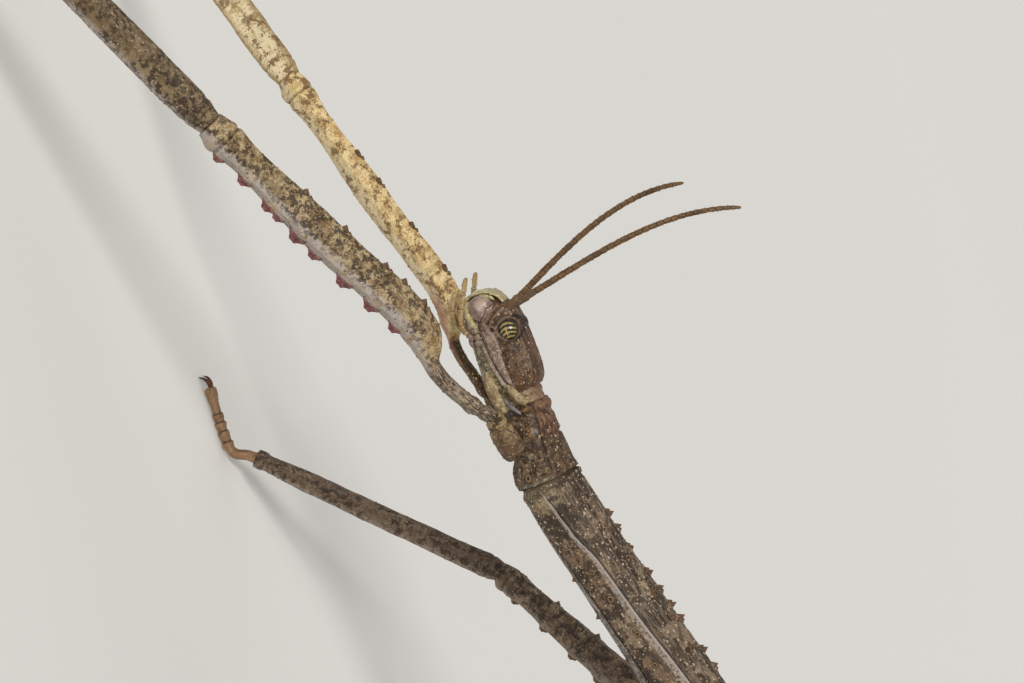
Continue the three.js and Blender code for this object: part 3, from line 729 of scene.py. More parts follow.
thoraxLook = {
    "base": ("#5a452f", "#745f49", 2.4), "roughness": 0.6, "gritHeight": 0.3, "bump": 0.08,
    "layers": [
        band("top", 0.55, 2.0, 0.25, "#3b2c1c", 0.8),
        band("markA", -7.0, 0.0, 0.2, "#92775e", 0.75,
             within=[("markB", 0.1, 9.0, 0.1), ("along", 11, 86, 1)]),
        lichen(2.7, 0.46, "#251b12", 0.85, edge=0.012, crumble=0.3, shift=5.0),
        lichen(2.7, 0.4, "#a38c71", 0.85, edge=0.012, crumble=0.3, shift=5.0),
        lichen(2.2, 0.45, "#2e2419", 0.78, edge=0.02, crumble=0.35, shift=31.0),
        lichen(1.1, 0.34, "#2a2016", 0.6, edge=0.03, crumble=0.5, shift=44.0),
        streaks(2.6, 0.3, 0.4, "#947f69", 0.6, edge=0.04, height=0.15, within=[("top", 0.1, 2.0, 0.3)]),
        wrinkles(0.8, 2.2, "#2c2117", 0.45, height=0.25, inverse=True),
        band("along", 9.5, 12.6, 0.8, "#a38f6f", 0.75, within=[("top", -1.0, 0.35, 0.25)],
             broken=[lichen(1.1, 0.62, edge=0.06)]),
        band("along", 9.4, 10.5, 0.15, "#a8987c", 0.7, within=[("top", -1.0, 0.6, 0.2)]),
        wrinkles(0.7, 0.5, "#2e2317", 0.8, height=-0.5, inverse=True, within=[("along", 8.9, 11.2, 0.4)]),
        band("along", 0.0, 9.2, 0.3, "#735339", 0.85, within=[("top", -2.0, 0.42, 0.1)]),
        lichen(1.3, 0.46, "#a2814f", 0.85, edge=0.04, shift=3.0,
               within=[("along", 0.5, 9.2, 0.3), ("top", -0.9, 0.4, 0.1)]),
        lichen(0.9, 0.36, "#1f150d", 0.85, edge=0.025, shift=13.0,
               within=[("along", 0.5, 9.2, 0.3), ("top", -2.0, 0.42, 0.1)]),
        lichen(1.2, 0.34, "#7c666a", 0.6, edge=0.08, shift=63.0, within=[("along", 2.0, 9.2, 0.3), proSide]),
        lichen(0.8, 0.32, "#b19b80", 0.75, edge=0.05, shift=23.0, within=[("along", 1.5, 9.2, 0.3), proSide]),
        band("along", 0.0, 5.2, 0.4, "#593a26", 0.9, within=[("top", 0.42, 2.0, 0.1)]),
        band("along", 5.0, 9.8, 0.4, "#503b25", 0.9, within=[("top", 0.42, 2.0, 0.1)]),
        streaks(1.2, 0.28, 0.44, "#86634a", 0.75, edge=0.05, height=0.3,
                within=[("along", 0.0, 5.2, 0.3), pronotumTop]),
        streaks(1.2, 0.28, 0.44, "#776246", 0.65, edge=0.05, height=0.2,
                within=[("along", 5.0, 9.6, 0.3), pronotumTop]),
        lichen(0.9, 0.42, "#2f1d13", 0.75, edge=0.03, shift=9.0,
               within=[("along", 0.0, 9.6, 0.3), pronotumTop]),
        # the raised front collar: its own warmer tone, with a painted highlight broken into patches
        band("along", 0.0, 2.1, 0.3, "#85644a", 0.7, within=[("top", 0.3, 2.0, 0.1)],
             broken=[lichen(1.0, 0.58, edge=0.05)]),
        wrinkles(1.0, 0.8, "#1f150d", 0.75, height=-0.9, inverse=True,
                 within=[("along", 0.0, 9.2, 0.3), ("top", -2.0, 0.4, 0.1)]),
        band("top", 0.38, 0.44, 0.035, "#1d130c", 0.8, within=[("along", 1.4, 9.0, 0.4)]),
        # painted highlight: a pale blue-white patch on a fold of the pronotum's flank
        band("along", 3.9, 4.5, 0.25, "#a39e9c", 0.6, within=[("top", 0.1, 0.34, 0.1)],
             broken=[lichen(0.4, 0.55)]),
        grains(0.4, 0.25, 0.5, "#a8967f", 0.75, height=0.5, rough=-0.1),
        grains(0.21, 0.34, 0.32, "#261c13", 0.6),
        band("markB", -1.6, -0.16, 0.1, "#6d655e", 0.8, within=[("along", 10.2, 86.0, 0.4)]),
        lichen(0.6, 0.44, "#27201a", 0.8, edge=0.03, shift=51.0, within=underStrip),
        streaks(0.9, 0.14, 0.4, "#a7a09a", 0.75, edge=0.03, within=underStrip),
        band("markB", -0.1, 0.12, 0.05, "#17110b", 0.9),
        band("markA", -0.75, -0.12, 0.14, "#ab9e92", 0.7, broken=[lichen(0.4, 0.62, crumble=0.6)]),
        band("markA", -0.22, 0.0, 0.06, "#aba198", 0.85, broken=[lichen(0.6, 0.9, edge=0.12)]),
        # painted shadow: a dark line in the groove just above the pale lateral ridge, on its back side
        band("markA", 0.04, 0.18, 0.05, "#1d1610", 0.85),
        band("markC", -0.02, 0.4, 0.08, "#65543a", 0.7, broken=[lichen(1.0, 0.7)]),
        band("markC", -0.02, 0.12, 0.05, "#1f170f", 0.75),
    ],
}
abdomenLook = {
    "base": ("#574532", "#716150", 4.0), "roughness": 0.6, "gritHeight": 0.3, "bump": 0.08,
    "layers": [
        band("markB", -9.0, -0.2, 0.3, "#83715e", 0.6),
        lichen(3.4, 0.45, "#291f15", 0.8, edge=0.012, crumble=0.3),
        lichen(3.4, 0.4, "#8b7a67", 0.8, edge=0.012, crumble=0.3),
        lichen(2.6, 0.42, "#34291d", 0.7, edge=0.02, crumble=0.35, shift=17.0),
        lichen(1.3, 0.34, "#2a2016", 0.55, edge=0.03, crumble=0.5, shift=44.0),
        streaks(4.0, 0.4, 0.42, "#8f7c66", 0.5, edge=0.05, height=0.15),
        wrinkles(0.8, 2.2, "#2c2117", 0.4, height=0.25, inverse=True),
        grains(0.42, 0.27, 0.45, "#a3917a", 0.7, height=0.45, rough=-0.1),
        grains(0.24, 0.34, 0.28, "#261c13", 0.55),
        band("markB", -0.14, 0.14, 0.06, "#1f170f", 0.8),
        band("markC", -0.02, 0.5, 0.1, "#6d5c41", 0.7, broken=[lichen(1.2, 0.7)]),
        band("markC", -0.02, 0.14, 0.05, "#1f170f", 0.75),
    ],
}

bodyRims = [start for name, start in bodyJoints.items() if start > 9]
ridgeAt, seamAt = curveThrough(bodySkin["ridge"]), curveThrough(bodySkin["seam"])


def girthAt(u):
    return (bodyTop(u * bodyLength) + bodySide(u * bodyLength)) / 2


def bodyMarks(u, angle, grain):
    station, turn = u * bodyLength, np.abs(angle)
    arc = girthAt(u) * math.pi / 180
    rims = np.array(bodyRims)
    nearest = rims[np.abs(station[..., None] - rims).argmin(-1)]
    shown = softStep(station, 10.3, 12.0) * 0.94 + 0.06
    onThorax = 1 - softStep(station, 84.5, 86.5) * 0.7
    toRidge = (ridgeAt(station) - turn) * arc / (shown * onThorax)
    toRidge = np.where(toRidge < 0, toRidge / (0.35 + 0.65 * softStep(station, 11, 32)), toRidge)
    toRim = station - nearest + 0.2 * lumps(grain * [0.2, 1, 1], 1.7, 17)
    return np.stack([toRidge, (seamAt(station) - turn) * arc / shown, toRim], -1)


def bodyRelief(u, angle, grain):
    plan = bodySkin
    station, turn = u * bodyLength, np.abs(angle)
    toRidge, toSeam, toRim = np.moveaxis(bodyMarks(u, angle, grain), -1, 0)
    onThorax = 1 - 0.55 * softStep(station, 84, 88)
    push = plan["ridgeHeight"] * crest(toRidge + 0.12, plan["ridgeWidth"]) * onThorax
    push += -0.13 * crest(toRidge - 0.13, 0.12) * onThorax
    push += -plan["seamDepth"] * crest(toSeam, plan["seamWidth"]) + 0.12 * crest(toSeam + 0.7, 0.4)
    push += 0.06 * crest(turn * girthAt(u) * math.pi / 180, 0.25) * softStep(station, 12, 16)
    rim = np.where(toRim < 0, plan["rimHeight"] * softStep(toRim, -1.6, -0.1), 0)
    fallen = np.where(toRim >= 0, -plan["grooveDepth"] * crest(toRim, 0.42), 0)
    push += rim + fallen
    front = softStep(-station, -9.9, -9.2)
    back = np.cos(np.radians(turn))
    push += front * 0.24 * crest(station - 1.75, 0.36) - front * 0.14 * crest(station - 2.5, 0.2)
    push += -front * 0.26 * crest(station - 4.9, 0.2) * softStep(back, 0.45, 0.8)
    push += front * 0.2 * crest((62 - turn) * 0.05, 0.26) * softStep(station, 2.4, 3.4)
    push += front * (bumps(grain, (0.36, 1.7, 3), (0.2, 0.8, 4))) * softStep(turn, 62, 80)
    push += front * 0.08 * lumps(grain * [0.5, 1, 1], 0.8, 6) * softStep(-turn, -66, -50)
    push += 0.2 * crest(station - 10.6, 0.34) - 0.14 * crest(station - 11.35, 0.22)
    push += 0.16 * lumps(grain * [1.6, 1, 1], 0.9, 5) * crest(station - 10.6, 1.4) * softStep(turn, 60, 90)
    for size, amount in plan["lumps"]:
        push += amount * lumps(grain * [0.55, 1, 1], size, round(size * 10))
    return push


def bodyStations():
    plain = np.arange(bodySkin["from"], bodyLength - 0.2, bodySkin["spacing"])
    near = np.concatenate([np.arange(rim - 0.7, rim + 0.9, bodySkin["jointSpacing"]) for rim in bodyRims[:-1]]
                          + [np.arange(1.2, 5.6, 0.16), [rim + 0.004 for rim in bodyRims[:-1]],
                             [rim - 0.004 for rim in bodyRims[:-1]]])
    both = np.unique(np.round(np.concatenate([plain, near, [bodyLength - 0.15]]), 3))
    keep = np.concatenate([[True], np.diff(both) > 0.006])
    return both[keep & (both < bodyLength)]


bodyGrid = skinOn(bodySweep, bodyStations() / bodyLength, turnsOf(bodySkin["sides"]), bodyRelief, bodyMarks)


# Part of a skin between two places.
def lengthOf(skin, low, high):
    keep = (skin["u"] >= low) & (skin["u"] <= high)
    rows = {key: skin[key][keep] for key in ("points", "normal", "along", "grain", "zone", "marks")}
    return {**skin, **rows, "u": skin["u"][keep]}


splitAt = bodySkin["split"] / bodyLength
abdomenNodes = [f"abdomen_{k}" for k in range(2, 11)]
thoraxBark, abdomenBark = cuticle("thoraxBark", thoraxLook), cuticle("abdomenBark", abdomenLook)
pour("thorax_skin", [closedPart(lengthOf(bodyGrid, 0, splitAt + 0.00001))], [thoraxBark],
     ["prothorax", "mesothorax", "metathorax"])
pour("abdomen_skin", [closedPart(lengthOf(bodyGrid, splitAt - 0.0002, 1))], [abdomenBark],
     abdomenNodes)
print("body skin:", bodyGrid["points"].shape[:2])

# Granules, ringed tubercles and spines that stand on the thorax and abdomen.
growths = {
    "thoraxSpacing": 0.6, "abdomenSpacing": 1.0, "coxalPit": (8.9, 109), "coxalPitSize": (0.42, 0.6, 0.34),
    "backSpine": (0.34, 0.5, 0.68), "besideSpine": (0.28, 0.36, 0.45), "edgeSpine": (0.28, 0.38, 0.7),
    "tubercles": [(18.1, 105, 0.34), (20.8, 97, 0.38), (24.3, 96, 0.5), (29.0, 91, 0.42), (32.8, 94, 0.4),
                  (37.2, 88, 0.4), (41.5, 90, 0.36), (46.4, 84, 0.4), (60.5, 92, 0.36), (66.5, 94, 0.4),
                  (73.0, 92, 0.36), (79.0, 95, 0.38)],
    "backSpines": [(16.7, -14, 1.0), (18.4, -20, 0.9), (21.1, -12, 0.62), (21.9, 16, 0.6), (24.5, -19, 0.85),
                   (26.5, -14, 0.85), (28.8, -22, 1.05), (30.4, -15, 1.0), (34.8, -20, 0.95),
                   (36.8, -13, 0.8), (40.5, -21, 0.9), (44.6, -16, 0.8), (48.2, -22, 0.7), (14.2, 20, 0.5),
                   (17.8, 24, 0.6), (26.2, 23, 0.75), (29.8, 18, 0.8), (33.4, 24, 0.85), (38.6, 20, 0.85),
                   (42.4, 25, 0.75), (46.6, 20, 0.7), (50.4, 22, 0.55)],
    "edgeSpines": [(17.2, 146, 0.55), (20.6, 149, 0.5), (25.4, 150, 0.6), (31.0, 148, 0.5), (36.5, 149, 0.55),
                   (43.0, 147, 0.5)],
}
chalkLook = {
    "base": ("#a4937c", "#b9aa94", 0.8), "roughness": 0.5, "gritHeight": 0.2, "bump": 0.03,
    "layers": [band("part", -1.0, 0.12, 0.1, "#5c4c3d", 0.85), band("top", 0.0, 0.3, 0.05, "#856b4e", 0.7)],
}
spineLook = {
    "base": ("#4e3422", "#644630", 0.6), "roughness": 0.4, "gritHeight": 0.2, "bump": 0.03,
    "layers": [band("part", -1.0, 0.3, 0.16, "#4a3a2b", 0.9),
               streaks(0.7, 0.16, 0.45, "#8f6c43", 0.45, height=0.3),
               band("part", 0.82, 2.0, 0.1, "#2e1a0e", 0.7)],
}
craterLook = {
    "base": ("#54402c", "#655039", 0.5), "roughness": 0.45, "gritHeight": 0.3, "bump": 0.04,
    "layers": [band("part", 0.42, 0.7, 0.07, "#846a47", 0.75),
               band("part", 0.72, 2.0, 0.06, "#170e07", 0.95)],
}
granuleChalk, spineHorn = cuticle("granuleChalk", chalkLook), cuticle("spineHorn", spineLook)
tubercleRing = cuticle("tubercleRing", craterLook)


def setOut(skin, shape, u, angle, size, material=0, seed=1, lean=0.0):
    return scatterPart(shape, spotsOn(skin, np.asarray(u, float), np.asarray(angle, float)), size, material,
                       lean, seed)


def granulesOn(skin, length, girth, spacing, share, seed, uRange=(0, 1), radius=(0.06, 0.15), material=0):
    u, angle = strewn(length, girth, spacing, share, seed, uRange)
    pick = np.random.default_rng(seed + 50)
    wide = radius[0] + (radius[1] - radius[0]) * pick.random(len(u)) ** 2
    long = wide * (1 + 0.6 * pick.random(len(u)))
    return setOut(skin, granule, u, angle, np.stack([wide, long, wide * 0.7], -1), material, seed)


def barkShare(u, angle):
    station, turn = u * bodyLength, np.abs(angle)
    clear = np.abs((ridgeAt(station) - turn) * girthAt(u) * math.pi / 180) > 0.45
    covered = (station > 54) & (turn < 70)
    return np.where(covered, 0.0, 0.66) * clear * np.where(turn > seamAt(station), 0.35, 1)


pronotumRange, thoraxRange, abdomenRange = ((low / bodyLength, high / bodyLength)
                                            for low, high in ((2.3, 9.3), (10.2, 85), (87, 209)))
pour("thorax_granules", [
    granulesOn(bodyGrid, bodyLength, 23, growths["thoraxSpacing"], barkShare, 11, thoraxRange),
    granulesOn(bodyGrid, bodyLength, 19, 0.7, lambda u, angle: np.where(np.abs(angle) < 62, 0.7, 0.3), 12,
               pronotumRange),
], [granuleChalk])
pour("abdomen_granules", [
    granulesOn(bodyGrid, bodyLength, 30, growths["abdomenSpacing"],
               lambda u, angle: np.where(np.abs(angle) < 100, 0.6, 0.2), 13, abdomenRange,
               radius=(0.09, 0.19)),
], [granuleChalk])


def spineOn(station, angle, kind, height, seed, lean):
    size = np.array(growths[kind]) * [1, 1, height]
    return setOut(bodyGrid, thorn, [station / bodyLength], [angle], size, 0, seed, lean)


def thoraxGrowths():
    parts = []
    for station, angle, radius in growths["tubercles"]:
        for hand in (-1, 1):
            size = (radius * 0.85, radius * 1.1, radius * 0.5)
            parts.append(setOut(bodyGrid, crater, [station / bodyLength], [hand * angle], size, 1,
                                seed=int(station)))
    station, angle = growths["coxalPit"]
    parts.append(setOut(bodyGrid, crater, [station / bodyLength] * 2, [-angle, angle],
                        growths["coxalPitSize"], 1, seed=4))
    for k, (station, angle, height) in enumerate(growths["backSpines"]):
        aside = 0.42 if k % 2 else -0.42
        parts.append(spineOn(station, -angle, "backSpine", height, k, 0.1))
        parts.append(spineOn(station + aside, -angle - 3, "besideSpine", height, k + 40, -0.2 * aside))
    for k, (station, angle, height) in enumerate(growths["edgeSpines"]):
        for hand in (-1, 1):
            parts.append(spineOn(station, hand * angle, "edgeSpine", height, k + 80, 0.1))
    return parts


pour("thorax_spines", thoraxGrowths(), [spineHorn, tubercleRing])
print("spines and granules set")

# Legs. The stance repeats the solids: hips behind, out and down, then headings and dips of each length.
legSizes = {
    "fore": {"coxa": 6.0, "femur": 43.4, "tibia": 44, "tarsus": 14.5, "depth": 4.1, "thin": 0.72, "neck": 1.7,
             "knee": 3.5, "shank": 3.5, "shankEnd": 2.3, "base": (0.2, 0.29), "tooth": (0.8, 1.0, 0.66)},
    "mid": {"coxa": 4.6, "femur": 37, "tibia": 32.5, "tarsus": 11.5, "depth": 3.6, "thin": 0.8, "neck": 2.6,
            "knee": 3.0, "shank": 2.7, "shankEnd": 2.0, "base": (0.13, 0.27), "tooth": (0.8, 0.8, 0.42)},
    "hind": {"coxa": 4.8, "femur": 48, "tibia": 54, "tarsus": 13, "depth": 4.0, "thin": 0.8, "neck": 2.7,
             "knee": 3.1, "shank": 2.8, "shankEnd": 2.1, "base": (0.13, 0.27), "tooth": (0.8, 0.8, 0.42)},
}
foreTeeth = [(0.345, 1.0), (0.428, 1.2), (0.517, 1.35), (0.61, 1.0), (0.67, 1.4), (0.734, 0.75), (0.769, 1.1),
             (0.853, 1.0), (0.933, 0.6)]
plainTeeth = [(0.38, 0.7), (0.5, 0.85), (0.62, 0.95), (0.76, 0.85), (0.9, 0.7)]
stance = [
    {"name": "fore_left", "hip": (-3.2, 2.7, 2.0), "coxa": (15.5, 0.5), "femur": (16.8, 22.7), "tibia": 14.3,
     "ankle": 7.5, "roll": 40, "bow": 1.2, "aside": 1.7, "teeth": foreTeeth,
     "thorns": [0.339, 0.404, 0.462, 0.597, 0.726]},
    {"name": "fore_right", "hip": (-3.2, -2.7, 2.0), "coxa": (-14, 24), "femur": (-6.8, 16.4), "tibia": -31,
     "ankle": 9.2, "roll": 55, "bow": 2.0, "aside": 0.3, "teeth": foreTeeth,
     "thorns": [0.372, 0.505, 0.647, 0.737], "size": {"neck": 1.25}, "toothShare": 0.55},
    {"name": "mid_left", "hip": (41, 3.2, 3.0), "coxa": (60, 22), "femur": (106, 24), "tibia": 114,
     "ankle": 3.3, "roll": 10, "bow": 0.8, "teeth": plainTeeth, "thorns": [0.42, 0.6, 0.78]},
    {"name": "mid_right", "hip": (41, -3.2, 3.0), "coxa": (-42, 32), "femur": (-34.5, 34.5), "tibia": -3,
     "ankle": 3.7, "roll": 10, "bow": 0.8, "teeth": plainTeeth, "thorns": [0.42, 0.6, 0.78]},
    {"name": "hind_left", "hip": (71, 3.4, 3.0), "coxa": (135, 20), "femur": (151, 16), "tibia": 159,
     "ankle": 3.2, "roll": 10, "bow": 0.8, "teeth": plainTeeth, "thorns": [0.36, 0.5, 0.64, 0.8]},
    {"name": "hind_right", "hip": (71, -3.4, 3.0), "coxa": (-135, 20), "femur": (-147, 17), "tibia": -153,
     "ankle": 3.2, "roll": 10, "bow": 0.8, "teeth": plainTeeth, "thorns": [0.36, 0.5, 0.64, 0.8]},
]
thornPair = [(0, 0.34, 0.5), (-0.017, 0.2, 0.22)]   # step along the femur, half width and height
tarsusShape = {"pad": 0.8, "soleCut": 0.12, "claw": 2.3, "floorGap": 0.004}


# Each pair wears its own mix: pale underneath and lichen-flecked above, from the colours given.
def legLook(mix):
    onFemur = ("markB", 0.5, 2.0, 0.1)
    onBase = [("along", -1.0, 8.6, 0.7), onFemur]
    return {
        "base": (mix["warm"], mix["mid"], 2.0), "roughness": 0.55, "gritHeight": 0.3, "bump": 0.08,
        "layers": [
            lichen(1.5, mix["paleCover"], mix["pale"], 0.85, edge=0.06, crumble=0.6, height=0.1),
            streaks(2.4, 0.5, 0.42, mix["pale"], 0.55, edge=0.06, shift=41.0),
            lichen(2.0, 0.42, mix["olive"], 0.5, edge=0.07, crumble=0.6, shift=8.0,
                   within=[("top", -0.5, 2.0, 0.3)]),
            band("markB", -1.0, 0.5, 0.1, mix["shank"], 0.6),
            band(*mix["underside"], 0.22, mix["under"], 0.9,
                 broken=[streaks(2.0, 0.6, 0.74, edge=0.06, shift=9.0),
                         lichen(1.6, 0.78, edge=0.03, shift=14.0)]),
            lichen(mix["fleckSize"], mix["flecks"], mix["fleck"], 0.85, edge=0.025, crumble=0.6, rough=0.06,
                   within=[("top", -0.72, 2.0, 0.25)], broken=[lichen(3.0, 0.74, edge=0.08, shift=61.0)]),
            grains(0.36, 0.3, 0.5, mix["fleck"], 0.6, broken=[lichen(2.4, 0.66, edge=0.08, shift=71.0)]),
            grains(0.34, 0.28, 0.45, mix["dot"], 0.6, height=0.5, rough=-0.08),
            wrinkles(0.6, 3.5, height=0.22),
            # the femur base's own colours; on the far fore leg these dark colours are painted shadow
            band("along", -1.0, 8.6, 0.7, mix["root"], 0.75, within=[onFemur]),
            streaks(0.9, 0.2, 0.5, mix["rootDark"], 0.75, edge=0.04, shift=21.0, within=onBase),
            streaks(0.75, 0.14, 0.4, mix["rootPale"], 0.9, edge=0.03, shift=33.0, within=onBase),
            # a pink painted highlight along one edge of the femur, over its pinkish tone, with grey dots
            # beside it
            band("along", 6.5, 14.5, 2.5, mix["pinkHighlight"], 0.8 * mix["pinkHighlightAmount"],
                 within=[onFemur, ("side", 0.82, 2.0, 0.16)],
                 broken=[lichen(1.0, 0.85, edge=0.1, crumble=0.6)]),
            band("along", -1.0, 8.6, 0.7, mix["pinkHighlight"], 0.6 * mix["pinkHighlightAmount"],
                 within=[onFemur, ("side", 0.55, 0.8, 0.1)], broken=[streaks(1.2, 0.3, 0.66)]),
            grains(1.0, 0.26, 0.7, "#626671", 0.75 * mix["pinkHighlightAmount"],
                   within=[("along", 7.0, 17.0, 1.5), onFemur, ("side", 0.3, 0.85, 0.15)]),
            band("markA", -0.1, 0.12, 0.1, "#2a2018", 0.45),
        ],
    }


plainMix = {"pale": "#99836a", "mid": "#6c5646", "warm": "#574534", "olive": "#4a3c2b", "fleck": "#2b2118",
            "under": "#8f8072", "dot": "#a6957f", "root": "#5a4737", "rootDark": "#32261b",
            "rootPale": "#93816c", "pinkHighlight": "#6b5243", "pinkHighlightAmount": 0.0, "underside": ("top", -2.0, -0.42),
            "shank": "#5a4839", "flecks": 0.46, "fleckSize": 0.8, "paleCover": 0.42}
legMixes = {
    "fore_left": {**plainMix, "pale": "#b9a27a", "mid": "#957a52", "warm": "#785d3a", "olive": "#5d472d",
                  "fleck": "#2d2016",
                  "under": "#ada29a", "dot": "#bfb095", "root": "#66503a", "rootDark": "#33261a",
                  "rootPale": "#a0937f",
                  "shank": "#5c4a36", "fleckSize": 0.55, "flecks": 0.52, "paleCover": 0.5},
    # the far fore leg: its dark femur base is painted shadow, and its pink edge band is a painted highlight
    "fore_right": {**plainMix, "pale": "#e3cb96", "mid": "#cfae74", "warm": "#b8905a", "olive": "#97783f",
                   "fleck": "#6b4a26",
                   "under": "#e0cfa8", "dot": "#a8937a", "root": "#33231a", "rootDark": "#1f150f",
                   "rootPale": "#5d4334",
                   "pinkHighlight": "#9c6353", "pinkHighlightAmount": 0.9, "underside": ("side", 0.72, 2.0), "shank": "#86704a",
                   "flecks": 0.4, "fleckSize": 1.0, "paleCover": 0.6},
}
toothLook = {
    "base": ("#723f42", "#5e3234", 0.7), "roughness": 0.4, "gritHeight": 0.2, "bump": 0.03,
    "layers": [band("part", -1.0, 0.25, 0.14, "#8f7a6c", 0.85),
               streaks(0.6, 0.2, 0.5, "#8f5d58", 0.6, height=0.3),
               lichen(0.4, 0.4, "#3c2221", 0.6, edge=0.05), band("part", 0.85, 2.0, 0.08, "#9a7668", 0.6)],
}
footLook = {
    "base": ("#9c7a5b", "#8b694b", 1.5), "roughness": 0.5, "gritHeight": 0.3, "bump": 0.05,
    "layers": [band("top", 0.55, 2.0, 0.2, "#705238", 0.5), lichen(0.9, 0.3, "#56402b", 0.6),
               band("markA", -0.12, 0.12, 0.07, "#3d2919", 0.75),
               band("markB", 0.5, 2.0, 0.2, "#b8a98e", 0.8), wrinkles(0.3, 1.5, height=0.25)],
}
clawLook = {
    "base": ("#6d4526", "#54331c", 0.5), "roughness": 0.3, "gritHeight": 0.15, "bump": 0.02,
    "layers": [band("part", 0.6, 2.0, 0.2, "#23130a", 0.85)],
}
hairLook = {"base": ("#7a6444", "#5c4630", 0.5), "roughness": 0.5, "gritHeight": 0.1, "bump": 0.01,
            "layers": []}
toothRose, footPeach, clawHorn, fineHair = (cuticle(name, look) for name, look in (
    ("toothRose", toothLook), ("footPeach", footLook), ("clawHorn", clawLook), ("fineHair", hairLook)))


# A hip lies behind the front of the mesothorax, out from the middle and down.
def hipPoint(behind, out, down):
    mesothorax = bodyPlan["chain"][2][1]
    part = 1 if behind < 0 else 2 if behind < mesothorax else 3
    ahead = rise(bodyPlan["chain"][part][2])
    start, joint = (mesothorax, 3) if part == 3 else (0, 2)
    below = np.array([ahead[2], 0, -ahead[0]])
    return jointPoints[joint] - ahead * (behind - start) + below * down + np.array([0, out, 0])


# A slim arch between two joints, which can start out aside. Each knot has its place, height and offset.
def arch(start, end, bow=0.0, aside=None):
    straight = [(0.0, 0.0, 0), (0.26, 1.0, 0), (0.6, 0.6, 0), (1.0, 0.0, 0)]
    dodging = [(0.0, 0.0, 0.55), (0.07, 0.0, 1), (0.19, 0.0, 1), (0.3, 1.0, 0.42), (0.6, 0.6, 0.3),
               (1.0, 0.0, 0)]
    knots, offset = (straight, np.zeros(3)) if aside is None else (dodging, aside)
    return bendThrough([start + (end - start) * at + [0, 0, bow * high] + offset * off
                        for at, high, off in knots])


def nearestMark(u, marks, length):
    marks = np.asarray(marks)
    gaps = u[..., None] - marks
    return np.take_along_axis(gaps, np.abs(gaps).argmin(-1)[..., None], -1)[..., 0] * length


def femurSkin(leg, size, path, level):
    depth, knee, neck = size["depth"], size["knee"], size["neck"]
    baseEnd, bladeStart = size["base"]
    shoulder = baseEnd + 0.55 * (bladeStart - baseEnd)
    outline = curveThrough([(0, neck), (baseEnd, neck), (shoulder, 0.8 * depth), (bladeStart, depth),
                            (0.62, depth), (0.88, knee - 0.2), (0.95, knee + 0.3), (1, knee - 0.5)])
    thin = curveThrough([(0, 1), (baseEnd, 1), (bladeStart, size["thin"]), (0.85, size["thin"]), (0.95, 0.85),
                         (1, 0.85)])
    sweep = {"path": path, "level": level, "squareness": 2.6, "top": lambda u: outline(u) / 2,
             "side": lambda u: outline(u) / 2 * thin(u)}
    bases = np.array([u for u, _ in leg["teeth"]])
    length = path.length

    def relief(u, angle, grain):
        turn = np.abs(angle)
        blade = softStep(u, baseEnd, bladeStart) * (1 - softStep(u, 0.9, 0.97))
        edges = crest(turn - 34, 6) + crest(turn - 146, 6)
        hollows = crest(turn - 62, 12) + crest(turn - 118, 12)
        push = blade * (0.1 * edges - 0.07 * hollows + 0.05 * crest(turn - 90, 5))
        toTooth = np.abs(u[..., None] - bases).min(-1) * length
        toothed = (u > bases[0] - 0.02) * (u < bases[-1] + 0.02)
        scallop = softStep(toTooth, 0.5, 1.7) * softStep(turn, 150, 172) * toothed
        push += -0.24 * scallop + 0.12 * crest(toTooth, 0.9) * softStep(turn, 158, 174)
        push += 0.22 * crest(u - 0.972, 0.013) * softStep(turn, 80, 120) - 0.2 * crest(u - 0.948, 0.005)
        push += 0.14 * crest(u - 0.06, 0.012) - 0.16 * crest(u - 0.035, 0.008)
        return push + bumps(grain, (0.09, 1.6, 2, 0.45), (0.045, 0.6, 3, 0.6), (0.02, 0.3, 4))

    def marks(u, angle, grain):
        return np.stack([nearestMark(u, [0.035, 0.948], length), 1 + 0 * u, 0 * u], -1)

    rings = [np.linspace(0, 1, round(length / 0.3)), np.linspace(0.93, 1, 24), np.linspace(0.02, 0.08, 20)]
    u = np.unique(np.concatenate(rings))
    return skinOn(sweep, u, turnsOf(56), relief, marks)


def tibiaSkin(size, path, level):
    knee, shank, end = size["knee"], size["shank"], size["shankEnd"]
    outline = curveThrough([(0, knee - 0.9), (0.05, knee - 0.1), (0.12, shank), (0.8, shank - 0.3),
                            (0.95, end), (1, end + 0.2)])
    sweep = {"path": path, "level": level, "squareness": 2.6, "top": lambda u: outline(u) / 2,
             "side": lambda u: outline(u) / 2 * 0.84}
    length = path.length

    def relief(u, angle, grain):
        turn = np.abs(angle)
        shaft = softStep(u, 0.06, 0.14) * (1 - softStep(u, 0.92, 0.98))
        push = shaft * (0.12 * (crest(turn - 38, 7) + crest(turn - 142, 7)) - 0.16 * crest(turn - 90, 16))
        push += 0.14 * crest(u - 0.975, 0.012) - 0.15 * crest(u - 0.05, 0.006)
        return push + bumps(grain, (0.08, 1.4, 6, 0.4), (0.045, 0.55, 7, 0.6), (0.02, 0.3, 8))

    def marks(u, angle, grain):
        return np.stack([nearestMark(u, [0.05, 1.02], length), 0 * u, 0 * u], -1)

    return skinOn(sweep, np.linspace(0, 1, round(length / 0.3)), turnsOf(44), relief, marks)


